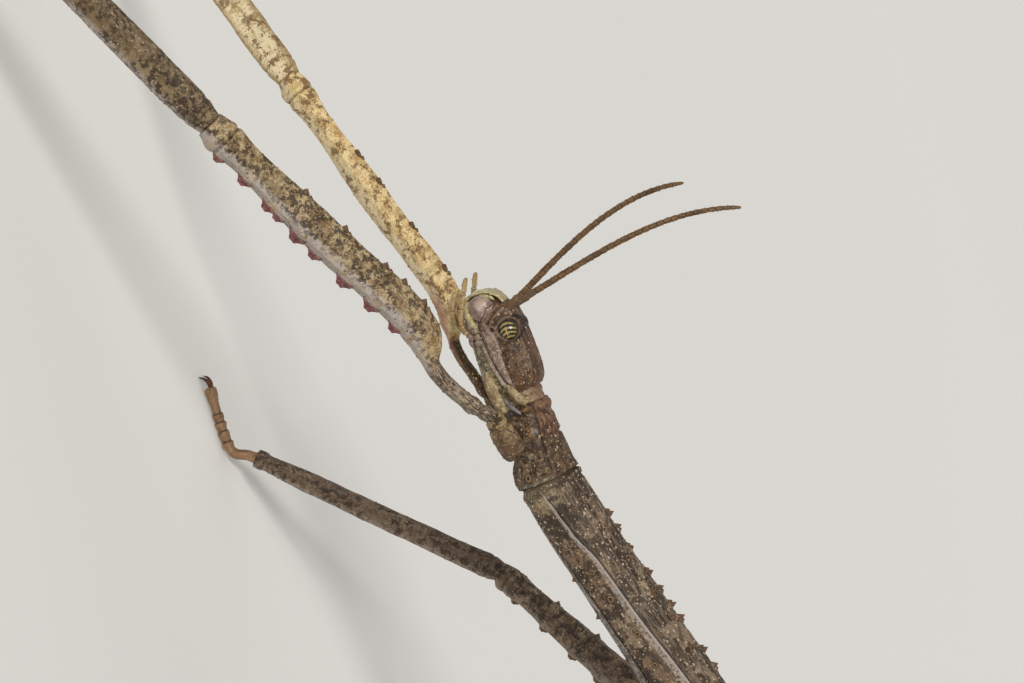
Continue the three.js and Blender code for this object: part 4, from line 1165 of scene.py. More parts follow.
def coxaSkin(leg, size, path, level):
    stout = 1.42 if "fore" in leg["name"] else 1.6
    top = curveThrough([(0, 0.4), (0.04, 0.7 * stout), (0.12, 0.9 * stout), (0.42, stout), (0.7, 0.9 * stout),
                        (0.8, 0.76 * stout), (1, size["neck"] / 2 + 0.2)])
    side = lambda u: 0.96 * top(u)
    hand = 1 if "left" in leg["name"] else -1

    # Millimetres from the fold that runs along the upper edge of the outer face.
    def toFold(u, angle):
        gap = ((angle - hand * (16 + 34 * (u - 0.4) ** 2 / 0.1)) * hand + 180) % 360 - 180
        return np.where((u > 0.1) & (u < 0.72), gap * 0.028, 9)

    def relief(u, angle, grain):
        fold = toFold(u, angle)
        push = -0.16 * crest(u - 0.75, 0.025) + 0.12 * crest(u - 0.81, 0.03) - 0.12 * crest(u - 0.94, 0.02)
        push += -0.16 * crest(fold, 0.1) + 0.12 * crest(fold - 0.2, 0.14)
        return push + bumps(grain, (0.12, 1.3, 9), (0.06, 0.5, 10))

    def marks(u, angle, grain):
        return np.stack([nearestMark(u, [0.75, 0.94], path.length), 0 * u, toFold(u, angle)], -1)

    sweep = {"path": path, "level": level, "top": top, "side": side}
    u = np.unique(np.concatenate([np.linspace(0, 0.12, 14), np.linspace(0, 1, 70)]))
    return skinOn(sweep, u, turnsOf(56), relief, marks)


def tarsusPath(ankle, heading, length):
    level = tarsusShape["pad"] - tarsusShape["soleCut"]
    ahead, drop = direction(heading, 0), ankle[2] - level
    slope = max(0.3 * length, 1.15 * drop)
    reach = math.sqrt(slope ** 2 - drop ** 2)

    def at(run, height):
        spot = ankle + ahead * run
        spot[2] = height
        return spot

    return bendThrough([ankle, at(0.4 * reach, level + 0.66 * drop), at(0.85 * reach, level + 0.14 * drop),
                        at(reach + 0.2 * (length - slope), level), at(reach + length - slope, level)])


def tarsusPart(ankle, heading, length):
    path = tarsusPath(ankle, heading, length)
    joints = [0.4, 0.52, 0.62, 0.71]
    radius = curveThrough([(0, 0.74), (0.05, 0.64), (0.32, 0.6), (0.385, 0.72), (0.405, 0.55), (0.47, 0.66),
                           (0.51, 0.7), (0.525, 0.55), (0.58, 0.66), (0.61, 0.7), (0.625, 0.55), (0.68, 0.66),
                           (0.705, 0.66), (0.72, 0.5), (0.83, 0.54), (0.93, 0.72), (0.98, 0.7), (1, 0.4)])

    def relief(u, angle, grain):
        below = softStep(np.abs(angle), 110, 150)
        pads = sum(crest(u - at, 0.022) for at in (0.365, 0.49, 0.595, 0.69, 0.95))
        return below * 0.2 * pads + 0.03 * lumps(grain, 0.5, 11)

    def marks(u, angle, grain):
        below = softStep(np.abs(angle), 110, 150)
        return np.stack([nearestMark(u, joints, path.length), below * (u > 0.3), 0 * u], -1)

    sweep = {"path": path, "level": sideways(heading), "top": radius, "side": lambda u: radius(u) * 1.05}
    skin = skinOn(sweep, np.linspace(0, 1, 150), turnsOf(28), relief, marks)
    skin["points"][..., 2] = np.maximum(skin["points"][..., 2], tarsusShape["floorGap"])
    tip, ahead = path(np.array([1.0]))
    parts = [closedPart(skin)]
    for hand in (-1, 1):
        away = direction(heading + 30 * hand, 12)
        start = tip[0] + np.array([0, 0, 0.05])
        knots = [start - away * 0.35, start + away * 0.6 + [0, 0, 0.22], start + away * 1.4 + [0, 0, 0.1],
                 start + away * (tarsusShape["claw"] - 0.45) + [0, 0, -0.35]]
        taper = curveThrough([(0, 0.34), (0.3, 0.3), (0.75, 0.15), (1, 0.03)])
        parts.append(closedPart(rodSkin(bendThrough(knots), taper, 22, 12, level=sideways(heading), flat=0.7),
                                1))
    return parts, skin


def hairsOn(skin, length, girth, spacing, reach, seed, share=0.8, material=0, uRange=(0, 1), lean=0.7):
    u, angle = strewn(length, girth, spacing, lambda a, b: share + 0 * a, seed, uRange)
    tall = reach * (0.6 + 0.6 * np.random.default_rng(seed + 9).random(len(u)))
    return setOut(skin, hair, u, angle, np.stack([0.02 + 0 * tall, 0.02 + 0 * tall, tall], -1), material,
                  seed, lean)


coxaLayers = [
    band("along", -1.0, 9.0, 0.1, "#7c6046", 0.9),
    lichen(1.6, 0.4, "#44311f", 0.65, edge=0.04, shift=6.0),
    lichen(1.1, 0.46, "#a0855f", 0.8, edge=0.04, shift=2.0),
    wrinkles(1.1, 0.8, "#2e2015", 0.5, height=-0.8, inverse=True),
    band("part", 0.77, 2.0, 0.03, "#9b8159", 0.85),
    lichen(0.8, 0.44, "#1f160e", 0.85, edge=0.02, shift=16.0, within=[("part", 0.76, 2.0, 0.03)]),
    lichen(0.9, 0.6, "#241911", 0.8, edge=0.05, shift=26.0, within=[("part", -1.0, 0.16, 0.05)]),
    grains(0.46, 0.28, 0.55, "#b3a088", 0.75, height=0.5),
    band("markC", -0.1, 0.06, 0.05, "#1f160e", 0.75),
    band("markC", 0.1, 0.24, 0.06, "#a59c98", 0.6),
]


def dressLeg(leg):
    name = leg["name"]
    kind = name.split("_")[0]
    size, hand = {**legSizes[kind], **leg.get("size", {})}, 1 if "left" in name else -1
    hip = hipPoint(*leg["hip"])
    hipEnd = hip + direction(*leg["coxa"]) * size["coxa"]
    knee = hipEnd + direction(*leg["femur"]) * size["femur"]
    dip = math.degrees(math.asin((knee[2] - leg["ankle"]) / size["tibia"]))
    ankle = knee + direction(leg["tibia"], dip) * size["tibia"]
    look = legLook(legMixes.get(name, plainMix))
    bark = cuticle(f"legBark_{name}", look)
    hipBark = cuticle(f"hipBark_{name}", {**look, "layers": look["layers"] + coxaLayers})

    ahead = direction(*leg["femur"])
    level = turned(sideways(leg["femur"][0]), ahead, leg["roll"] * hand)
    aside = unit(np.cross(level, ahead)) * leg["aside"] if "aside" in leg else None
    coxaEnd = hipEnd if aside is None else hipEnd + 0.5 * aside
    coxa = coxaSkin(leg, size, arch(hip, coxaEnd), sideways(leg["coxa"][0]))
    grit = granulesOn(coxa, size["coxa"], 10, 0.75, lambda u, a: 0.5 + 0 * u, 21, radius=(0.08, 0.16))
    pour(f"{name}_coxa_skin", [closedPart(coxa), grit], [hipBark], [f"{name}_coxa"])

    femur = femurSkin(leg, size, arch(hipEnd, knee, leg["bow"], aside), level)
    parts = [closedPart(femur)]
    for k, (u, big) in enumerate(leg["teeth"]):
        tooth = np.array(size["tooth"]) * leg.get("toothShare", 1.0) * big ** 0.5
        parts.append(setOut(femur, lobe, [u], [180], tooth, 1, k, lean=0.12))
    for k, u in enumerate(leg["thorns"]):
        for step, wide, tall in thornPair:
            angle = 28 * hand + 400 * step
            parts.append(setOut(femur, thorn, [u + step], [angle], (wide, wide * 1.6, tall), 2, k + 30,
                                lean=0.25))
    parts.append(granulesOn(femur, size["femur"], 10, 0.95, lambda u, a: 0.45 + 0 * u, 22, (0.03, 0.97),
                            (0.07, 0.15)))
    teeth = toothRose if name == "fore_left" else bark if name == "fore_right" else spineHorn
    pour(f"{name}_femur_skin", parts, [bark, teeth, spineHorn], [f"{name}_femur"])

    tibia = tibiaSkin(size, arch(knee, ankle), sideways(leg["tibia"]))
    grit = granulesOn(tibia, size["tibia"], 8.5, 0.95, lambda u, a: 0.45 + 0 * u, 23, (0.05, 0.97),
                      (0.06, 0.13))
    hairs = hairsOn(tibia, size["tibia"], 8, 1.3, 0.32, 24, 0.5, 1, (0.5, 0.99))
    pour(f"{name}_tibia_skin", [closedPart(tibia), grit, hairs], [bark, fineHair],
         [f"{name}_tibia"])

    feet, foot = tarsusPart(ankle, leg["tibia"], size["tarsus"])
    feet.append(hairsOn(foot, size["tarsus"], 4, 0.7, 0.3, 25, 0.6, 2, (0.02, 0.9)))
    for part in feet:
        part["verts"][:, 2] = np.maximum(part["verts"][:, 2], tarsusShape["floorGap"])
    pour(f"{name}_tarsus_skin", feet, [footPeach, clawHorn, fineHair], [f"{name}_tarsus"])


for leg in stance:
    dressLeg(leg)
print("six legs dressed")

# Head. Lines run along it as height against distance from its rear.
headShape = {
    "length": 11.0,
    "top": [(0, 2.2), (0.07, 2.75), (0.18, 3.0), (0.4, 3.1), (0.6, 3.1), (0.74, 2.95), (0.84, 2.65),
            (0.93, 1.7), (1, 0.8)],
    "side": [(0, 2.1), (0.07, 2.45), (0.18, 2.65), (0.5, 2.75), (0.66, 2.7), (0.8, 2.3), (0.92, 1.75),
             (1, 1.2)],
    "bottom": [(0, 2.6), (0.07, 3.6), (0.2, 3.9), (0.5, 3.6), (0.7, 3.5), (0.84, 3.1), (0.93, 2.5), (1, 1.5)],
    "groove": [(0, -0.35), (0.7, -0.66), (3.3, -1.35), (5.7, -1.6), (8.0, -1.75), (9.0, -1.2), (11, -0.4)],
    "crease": [(0, 0.1), (0.9, -0.13), (3.6, -0.2), (5.8, 0.0), (6.6, 0.0), (8.0, -0.5), (11, -1.0)],
    "ridge": [(0, 0.9), (0.5, 1.5), (1.1, 2.02), (2.2, 2.3), (4.0, 2.45), (6.1, 2.4), (7.6, 2.75), (11, 2.8)],
    "tubercles": [(8.79, 1.06), (8.61, 1.76), (8.31, 2.19), (9.25, 1.6)],
    "tubercleSize": (0.19, 0.19, 0.17), "orbit": 1.3, "bare": 1.6, "pit": (7.47, -0.2), "hinge": (9.2, -0.1),
}


# Distance from a place on the side of the head.
def sideGap(x, z, spot):
    return np.hypot(x - spot[0], z - spot[-1])


# Across and along the folds between the jaw's hinge and the eye.
def hingePlace(x, z):
    hingeX, hingeZ = headShape["hinge"]
    across, along = (z - hingeZ) * 0.55 - (x - hingeX) * 0.835, (x - hingeX) * 0.55 + (z - hingeZ) * 0.835
    return across + 0.09 * np.sin(2.1 * along + 0.6) + 0.05 * np.sin(5.3 * along + 2.4 * across), along


onCrown, onCheek = [("markC", 0.2, 9.0, 0.1)], [("markB", -9.0, -0.1, 0.1)]
onThroat = [("markA", -9.0, -0.5, 0.1)]
headLook = {
    "base": ("#382617", "#503a27", 1.1), "roughness": 0.4, "gritHeight": 0.28, "bump": 0.06,
    "layers": [
        lichen(1.3, 0.42, "#2a1a10", 0.7, crumble=0.4),
        lichen(1.4, 0.38, "#6b4c31", 0.6, edge=0.06, crumble=0.5, shift=21.0),
        lichen(0.7, 0.36, "#80674b", 0.5, edge=0.06, crumble=0.5, shift=27.0),
        band("markC", 0.12, 9.0, 0.12, "#4d3422", 0.7),
        streaks(1.6, 0.3, 0.45, "#7b573a", 0.65, within=onCrown),
        streaks(1.6, 0.35, 0.42, "#2b1b11", 0.65, shift=7.0, within=onCrown),
        band("markB", -9.0, -0.04, 0.08, "#8f7866", 0.9),
        lichen(0.8, 0.46, "#5c4839", 0.7, edge=0.05, crumble=0.5, within=onCheek),
        lichen(0.9, 0.36, "#b7a291", 0.65, edge=0.06, crumble=0.5, shift=11.0, within=onCheek),
        lichen(0.35, 0.32, "#cdbcae", 0.7, edge=0.05, crumble=0.5, shift=18.0,
               within=[("markB", -9.0, 0.1, 0.2)]),
        band("markA", -9.0, -0.42, 0.08, "#7a6b4d", 0.92),
        band("along", -1.0, 3.8, 1.2, "#a59672", 0.8, within=[("markA", -9.0, -0.42, 0.08)]),
        wrinkles(0.9, 0.8, "#463a22", 0.6, height=0.5, inverse=True, within=[("markA", -9.0, -0.4, 0.1)]),
        lichen(0.5, 0.44, "#2f261b", 0.85, edge=0.03, crumble=0.5, within=onThroat),
        lichen(0.6, 0.34, "#c9bc94", 0.7, edge=0.03, crumble=0.5, shift=15.0, within=onThroat),
        band("markA", -0.3, -0.2, 0.05, "#857c84", 0.6, broken=[lichen(0.8, 0.5, edge=0.08)]),
        band("markA", -0.12, 0.06, 0.05, "#17100c", 0.85),
        band("markB", -0.04, 0.1, 0.07, "#21160f", 0.65, broken=[lichen(1.2, 0.7, edge=0.1)]),
        band("markC", -0.1, 0.08, 0.06, "#7d6048", 0.6, broken=[lichen(1.0, 0.66, edge=0.1, shift=6.0)]),
        band("markC", 0.12, 0.26, 0.06, "#21160f", 0.6),
        # painted light on the folds between jaw and eye: paler bands on the raised folds are painted
        # highlights, darker bands in the grooves painted shade
        band("part", 0.08, 0.34, 0.1, "#8a705c", 0.7, broken=[lichen(0.8, 0.75, edge=0.1, shift=35.0)]),
        band("part", 0.44, 0.56, 0.07, "#1b120c", 0.6),
        band("part", 0.66, 0.94, 0.12, "#7a604a", 0.6, broken=[lichen(0.8, 0.75, edge=0.1, shift=36.0)]),
        band("part", 1.04, 1.14, 0.08, "#1f150e", 0.35),
        lichen(0.5, 0.5, "#a5857a", 0.7, edge=0.04,
               within=[("side", 0.35, 1.1, 0.2), ("along", 5.9, 7.2, 0.2)]),
        band("side", 0.3, 0.46, 0.07, "#8f7169", 0.55),
        band("side", -1.0, 0.24, 0.06, "#241713", 0.75),
        band("top", -0.14, 0.03, 0.05, "#5b422e", 0.5),
        band("top", -2.0, -0.22, 0.04, "#0f0a06", 0.95),
        # painted shadow: a dark crescent just outside the orbit, on its upper side
        band("top", 0.02, 0.34, 0.08, "#170f09", 0.85, within=[("markC", -0.6, 9.0, 0.25)]),
        band("top", 0.06, 0.14, 0.04, "#1f150e", 0.5),
        band("along", -1.0, 0.5, 0.15, "#5b3a2c", 0.7),
        grains(0.34, 0.28, 0.55, "#9b7f64", 0.6, height=0.45, rough=-0.08),
        grains(0.2, 0.32, 0.35, "#1c120b", 0.55),
        wrinkles(0.5, 1.8, height=0.18),
    ],
}
headLines = {key: curveThrough(headShape[key]) for key in ("groove", "crease", "ridge")}
headRadii = {key: curveThrough(headShape[key]) for key in ("top", "side", "bottom")}


def headMarks(u, angle, grain):
    x, z = u * headShape["length"], grain[..., 2]
    onSide = softStep(np.abs(np.sin(np.radians(angle))), 0.12, 0.3)
    return np.stack([z - headLines["groove"](x), z - headLines["crease"](x),
                     np.where(np.cos(np.radians(angle)) > 0, z - headLines["ridge"](x), -3)
                     + (1 - onSide) * 0.4], -1)


def headRelief(u, angle, grain):
    x, y, z = u * headShape["length"], np.abs(grain[..., 1]), grain[..., 2]
    toGroove, toCrease, toRidge = (z - headLines[line](x) for line in ("groove", "crease", "ridge"))
    flank = softStep(y, 0.8, 1.5)
    rear = softStep(x, 0.3, 1.2)
    toEye, toPit = sideGap(x, z, eyeShape["centre"]), sideGap(x, z, headShape["pit"])
    groove = 0.14 * crest(toGroove + 0.4, 0.25) - 0.26 * crest(toGroove, 0.2)
    crease = 0.1 * crest(toCrease + 0.3, 0.25) - 0.13 * crest(toCrease, 0.12)
    push = flank * rear * (groove + crease)
    ridge = 0.17 * crest(toRidge, 0.2) - 0.1 * crest(toRidge - 0.4, 0.18)
    push += flank * ridge * (1 - softStep(x, 6.4, 7.6))
    push += 0.08 * crest(toRidge - 0.95, 0.16) * flank
    push += flank * (0.07 * crest(toEye - headShape["orbit"], 0.22) - 0.22 * crest(toEye, 0.85))
    push += flank * (0.14 * crest(toPit - 0.42, 0.13) - 0.12 * crest(toPit, 0.26))
    across, along = hingePlace(x, z)
    folds = (0.16 * crest(across - 0.22, 0.15) - 0.14 * crest(across - 0.5, 0.08)
             + 0.1 * crest(across - 0.8, 0.18)
             - 0.07 * crest(across - 1.1, 0.08)) * (1 + 0.5 * lumps(grain, 0.7, 35))
    push += flank * folds * softStep(along, -1.7, -1.0) * (1 - softStep(along, 0.9, 1.6))
    push += -0.22 * crest(grain[..., 1], 0.14) * softStep(z, 1.2, 2.2) * (1 - softStep(x, 6.6, 8.2))
    push += 0.12 * lumps(grain * [0.8, 1, 1.6], 0.85, 31) * softStep(-toGroove, 0.4, 0.9)
    brow = crest(x - 8.9, 0.5) * crest(z - 2.2, 0.6) * crest(y - 1.2, 0.6)
    push += 0.3 * brow
    return push + bumps(grain, (0.05, 1.2, 32), (0.03, 0.45, 33), (0.012, 0.22, 34))


headSweep = {"path": pathAlong(fromHead([(0.3, 0, 0), (5.0, 0, 0), (headShape["length"], 0, 0)])),
             "level": leftward, "squareness": 2.2, "keel": 0.42, **headRadii}
headPlaces = np.concatenate([[0.0, 0.004], np.linspace(0.01, 0.985, 130), [0.995, 1.0]])
headGrid = skinOn(headSweep, headPlaces, turnsOf(132), headRelief, headMarks, headShape["length"])


# Places for the paint: across the jaw's folds, out from the orbit's rim and out from the pit.
def headZones():
    x, z = headGrid["u"][:, None] * headShape["length"] + 0 * headGrid["angles"], headGrid["grain"][..., 2]
    across, along = hingePlace(x, z)
    toFolds = np.where((np.abs(along) < 1.5) & (np.abs(headGrid["grain"][..., 1]) > 0.8), across, 9)
    toOrbit = sideGap(x, z, eyeShape["centre"]) - headShape["orbit"]
    return np.stack([toFolds, toOrbit, sideGap(x, z, headShape["pit"])], -1)


headGrid["zone"] = headZones()


def headShare(u, angle):
    x = u * headShape["length"]
    spots = sweepPoint(headSweep, u, angle)
    z = (spots - headAt) @ headAxes[2]
    clear = sideGap(x, z, eyeShape["centre"]) > headShape["bare"]
    side = (z > headLines["crease"](x) + 0.15) & (z < headLines["ridge"](x) - 0.15)
    return np.where(side, 0.75, 0.4) * clear


def headTurn(x, z, hand):
    row = np.abs(headGrid["u"] - x / headShape["length"]).argmin()
    spots = (headGrid["points"][row] - headAt) @ headAxes.T
    return headGrid["angles"][(np.abs(spots[:, 2] - z) + 9 * (spots[:, 1] * hand < 0)).argmin()]


headBark = cuticle("headCuticle", headLook)
headGranules = granulesOn(headGrid, 11, 19, 0.46, headShare, 41, (0.06, 0.86), (0.05, 0.125), material=1)
headParts = [closedPart(headGrid), headGranules]
for k, (x, z) in enumerate(headShape["tubercles"]):
    for hand in (-1, 1):
        spot = [x / headShape["length"]], [headTurn(x, z, hand)]
        headParts.append(setOut(headGrid, granule, *spot, headShape["tubercleSize"], 1, k))
headDotLook = {**chalkLook, "base": ("#b59b84", "#9d846c", 0.8)}
pour("head_skin", headParts, [headBark, cuticle("headDot", headDotLook)], ["head"])
print("head skin:", headGrid["points"].shape[:2])

# Eyes: a low dome with a dark rim and dark curved bands.
eyeLook = {"dark": "#0d0804", "yellow": "#b09a50", "grey": "#82764a", "bands": 4.4, "bend": 0.45, "rim": 0.96,
           "halo": 0.88}


def eyeMaterial():
    material, tree, shader = newMaterial("bandedEye")
    spot = put(tree, "Attribute", attribute_name="marks").outputs["Vector"]
    ahead, out, up = put(tree, "SeparateXYZ", {0: spot}).outputs
    curved = plus(tree, ahead, times(tree, times(tree, up, up), eyeLook["bend"]))
    ripple = noise(tree, spot, 5.0, 3.0)
    wavy = plus(tree, curved, calc(tree, "MULTIPLY_ADD", ripple, 0.06, -0.03))
    wave = calc(tree, "SINE", calc(tree, "MULTIPLY_ADD", wavy, eyeLook["bands"] * math.pi, 1.1))
    stripes = ease(tree, wave, -0.35, 0.1)
    offCentre = ease(tree, calc(tree, "ABSOLUTE", plus(tree, up, 0.06)), 0.03, 0.13)
    ends = ease(tree, calc(tree, "ABSOLUTE", plus(tree, curved, 0.05)), 0.3, 0.5)
    reach = calc(tree, "SQRT", plus(tree, times(tree, ahead, ahead), times(tree, up, up)))
    inside = ease(tree, reach, eyeLook["halo"] + 0.04, eyeLook["halo"] - 0.04)
    stripes = times(tree, times(tree, stripes, calc(tree, "MAXIMUM", offCentre, ends)), inside)
    rim = ease(tree, reach, eyeLook["rim"] - 0.03, eyeLook["rim"] + 0.03)
    ground = mixed(tree, ease(tree, ripple, 0.35, 0.65), eyeLook["yellow"], eyeLook["grey"])
    banded = mixed(tree, stripes, ground, eyeLook["dark"])
    tree.links.new(mixed(tree, rim, banded, eyeLook["dark"]), shader.inputs["Base Color"])
    facets = put(tree, "TexVoronoi", {"Vector": spot, "Scale": 26.0})
    bumped = put(tree, "Bump", {"Height": facets.outputs["Distance"], "Distance": 0.000012, "Strength": 0.5})
    tree.links.new(bumped.outputs[0], shader.inputs["Normal"])
    shader.inputs["Roughness"].default_value = 0.16
    shader.inputs["Coat Weight"].default_value = 0.5
    return material


def ballSkin(centre, radii, sides=40, rings=36, relief=None):
    centre, radii = np.asarray(centre, float), np.asarray(radii, float)
    reach = np.array([radii[0], 0, 0])
    path = pathAlong([fromHead(centre - reach), fromHead(centre), fromHead(centre + reach)])
    swell = lambda u: np.sqrt(np.maximum(1 - (2 * u - 1) ** 2, 1e-4))
    sweep = {"path": path, "level": leftward, "top": lambda u: radii[2] * swell(u),
             "side": lambda u: radii[1] * swell(u)}
    u = (1 - np.cos(np.linspace(0.04, math.pi - 0.04, rings))) / 2
    skin = skinOn(sweep, u, turnsOf(sides), relief)
    local = (skin["points"] - fromHead(centre)) @ headAxes.T
    skin["marks"] = local / radii
    return skin


bandedEye = eyeMaterial()
eyeRimLook = {"base": ("#2a1d13", "#3d2b1d", 0.4), "roughness": 0.45, "gritHeight": 0.2, "bump": 0.03,
              "layers": [band("side", -0.4, 0.7, 0.2, "#0f0a06", 0.9)]}
eyeRim = cuticle("eyeRim", eyeRimLook)
for side, hand in bothSides.items():
    x, y, z = eyeShape["centre"]
    eyeball = ballSkin((x, y * hand, z), eyeShape["radii"])
    turn = np.linspace(0, 2 * math.pi, 60)
    loop = [fromHead((x + 1.06 * math.cos(a), (y + 0.42) * hand, z + 1.06 * math.sin(a))) for a in turn]
    ring = rodSkin(pathAlong(loop), lambda u: 0.08 + 0 * u, 72, 12)
    pour(f"eye_{side}_ball", [closedPart(eyeball), closedPart(ring, 1)], [bandedEye, eyeRim],
         [f"eye_{side}"])

# Mouth: jaws, the cream lip that wraps their front, and two pairs of feelers.
jawLook = {
    "base": ("#98786b", "#b4958a", 0.9), "roughness": 0.2, "gritHeight": 0.1, "bump": 0.06,
    "layers": [lichen(0.9, 0.44, "#6a5350", 0.6, edge=0.08),
               lichen(0.8, 0.36, "#a37650", 0.6, edge=0.1, shift=19.0),
               lichen(1.0, 0.32, "#8d8793", 0.6, edge=0.1, shift=29.0),
               lichen(0.9, 0.36, "#d6bfa9", 0.7, edge=0.1, shift=9.0),
               wrinkles(0.9, 1.0, "#3c2b26", 0.5, height=0.6, inverse=True),
               # painted highlight: a pale patch on the upper front of the jaw
               band("top", -1.0, 0.4, 0.25, "#d3b8a2", 0.55),
               # painted shade: dark lines in the two grooves across the jaw
               band("part", -0.36, -0.24, 0.06, "#2c1f1b", 0.45),
               band("part", -0.72, -0.62, 0.06, "#3a2a25", 0.25)],
    "shader": {"Coat Weight": 0.6, "Coat Roughness": 0.12, "Specular IOR Level": 0.5},
}
lipLook = {
    "base": ("#d3c692", "#bdaf7c", 0.7), "roughness": 0.36, "gritHeight": 0.2, "bump": 0.04,
    "layers": [lichen(0.7, 0.36, "#8d7a4c", 0.5, edge=0.08),
               wrinkles(0.5, 1.0, "#6b5a38", 0.5, height=0.3, inverse=True)],
    "shader": {"Coat Weight": 0.2, "Specular IOR Level": 0.5},
}
foldLook = {
    "base": ("#a58d78", "#bda88f", 0.6), "roughness": 0.34, "gritHeight": 0.2, "bump": 0.05,
    "layers": [lichen(0.5, 0.42, "#75604e", 0.65, edge=0.05), lichen(0.6, 0.34, "#d8c4a4", 0.6, shift=5.0),
               lichen(0.7, 0.3, "#a07a6a", 0.6, edge=0.08, shift=15.0),
               wrinkles(0.4, 1.0, "#2b2019", 0.65, height=0.4, inverse=True)],
    "shader": {"Coat Weight": 0.3, "Specular IOR Level": 0.5},
}
palpLook = {
    "base": ("#b3925f", "#98794f", 0.8), "roughness": 0.42, "gritHeight": 0.2, "bump": 0.04,
    "layers": [streaks(1.5, 0.25, 0.45, "#cdb88f", 0.6), lichen(0.6, 0.34, "#6f5a38", 0.6, edge=0.08),
               band("markA", -0.08, 0.08, 0.05, "#5e4930", 0.5)],
}
jawLilac, lipCream, palpTan, mouthFold = (cuticle(name, look) for name, look in (
    ("jawLilac", jawLook), ("lipCream", lipLook), ("palpTan", palpLook), ("mouthFold", foldLook)))
palps = {
    "maxillary": {"points": [(7.7, 1.7, -3.1), (9.4, 2.5, -3.1), (11.2, 2.6, -2.3), (12.6, 2.5, -1.5),
                             (13.8, 2.3, -0.8)],
                  "radius": 0.28, "joints": [0.12, 0.24, 0.5, 0.76]},
    "labial": {"points": [(8.1, 0.9, -3.6), (9.9, 1.2, -4.0), (11.5, 1.3, -3.6), (12.7, 1.2, -2.9)],
               "radius": 0.25, "joints": [0.25, 0.58]},
}


def jointedSkin(path, radius, joints, steps, waist=0.1):
    def relief(u, angle, grain):
        gap = nearestMark(u, joints, path.length)
        return -waist * crest(gap, 0.07) + 0.6 * waist * crest(gap + 0.2, 0.12) + 0.02 * lumps(grain, 0.4, 51)

    def marks(u, angle, grain):
        return np.stack([nearestMark(u, joints, path.length), 0 * u, 0 * u], -1)

    return rodSkin(path, radius, steps, 20, relief, marks)


jaw = {"centre": (10.05, 1.7, -0.7), "radii": (1.42, 1.05, 1.45)}
mouthFolds = [(8.75, 1.95, -2.5, (0.62, 0.5, 0.36)), (8.1, 2.25, -2.1, (0.4, 0.36, 0.46)),
              (7.65, 2.05, -2.75, (0.56, 0.45, 0.36)), (7.35, 2.2, -2.1, (0.42, 0.34, 0.4)),
              (6.75, 2.05, -2.3, (0.46, 0.36, 0.36)), (7.0, 1.6, -3.0, (0.66, 0.46, 0.36)),
              (9.35, 1.7, -2.8, (0.6, 0.42, 0.3))]


def jawSkin(hand):
    x, y, z = jaw["centre"]

    def relief(u, angle, grain):
        across = hingePlace(x - jaw["radii"][0] + grain[..., 0], z + grain[..., 2])[0]
        return (bumps(grain, (0.06, 0.9, 61), (0.02, 0.4, 62)) - 0.1 * crest(across + 0.3, 0.09)
                + 0.07 * crest(across + 0.48, 0.14) - 0.05 * crest(across + 0.67, 0.07))

    skin = ballSkin((x, y * hand, z), jaw["radii"], 64, 56, relief)
    ahead, _, up = np.moveaxis(skin["marks"], -1, 0)
    across = hingePlace(x + ahead * jaw["radii"][0], z + up * jaw["radii"][2])[0]
    # distance from the spot of the jaw's painted highlight
    toPaintedHighlight = np.hypot(ahead - 0.35, up - 0.25)
    skin["zone"] = np.stack([across, toPaintedHighlight, 0 * across], -1)
    return skin


def foldDents(u, angle, grain):
    return bumps(grain, (0.07, 0.5, 66), (0.03, 0.25, 67))


for side, hand in bothSides.items():
    pour(f"mandible_{side}_shell", [closedPart(jawSkin(hand))], [jawLilac], [f"mandible_{side}"])
    folds = [closedPart(ballSkin((x, y * hand, z), radii, 28, 24, foldDents))
             for x, y, z, radii in mouthFolds]
    pour(f"maxilla_{side}_folds", folds, [mouthFold])
    for name, plan in palps.items():
        path = headBend(plan["points"], hand)
        r = plan["radius"]
        girth = curveThrough([(0, r * 0.9), (0.7, r * 0.92), (0.9, r), (0.97, r * 0.8), (1, r * 0.3)])
        palp = jointedSkin(path, girth, plan["joints"], 120)
        hairs = hairsOn(palp, path.length, 2.2, 0.45, 0.22, 63, 0.5, 1, (0.3, 0.99))
        pour(f"{name}_palp_{side}_skin", [closedPart(palp), hairs], [palpTan, fineHair],
             [f"{name}_palp_{side}"])

lipShape = {
    "front": [(9.9, 0, 1.75), (10.75, 0, 1.35), (11.45, 0, 0.4), (11.72, 0, -0.9), (11.4, 0, -2.1),
              (10.7, 0, -2.8)],
    "halfWidth": [(0, 1.25), (0.25, 1.45), (0.6, 1.5), (0.85, 1.3), (1, 0.7)], "thick": 0.26,
    "rolls": [([(11.1, 1.2, -1.9), (10.2, 1.9, -2.25), (9.2, 2.05, -2.2), (8.3, 2.05, -1.95),
                (7.7, 1.95, -1.8)],
               [(0, 0.3), (0.3, 0.42), (0.7, 0.36), (1, 0.15)], 0),
              ([(10.5, 1.45, 1.0), (11.0, 1.6, 0.55), (11.25, 1.7, 0.0), (11.35, 1.65, -0.6)],
               [(0, 0.08), (0.3, 0.22), (0.7, 0.22), (1, 0.1)], 0)],
}


# Soft rolls on both sides of the head: places in its frame, radii along them and a material.
def rollParts(rolls, steps, dents):
    return [closedPart(rodSkin(headBend(knots, hand), curveThrough(radius), steps, 28, dents[material]),
                       material)
            for hand, (knots, radius, material) in itertools.product((-1, 1), rolls)]


def lipParts():
    width, thick = curveThrough(lipShape["halfWidth"]), lipShape["thick"]

    def folds(u, angle, grain):
        crease = 0.08 * crest(u - 0.3, 0.03) - 0.14 * crest(u - 0.34, 0.02)
        return crease + bumps(grain, (0.05, 0.8, 64), (0.02, 0.3, 65))

    sweep = {"path": headBend(lipShape["front"]), "level": leftward, "squareness": 2.4,
             "top": lambda u: thick + 0 * u, "side": width}
    parts = [closedPart(skinOn(sweep, np.linspace(0, 1, 70), turnsOf(48), folds))]
    return parts + rollParts(lipShape["rolls"], 60, [folds])


pour("lip", lipParts(), [lipCream], ["labrum"])

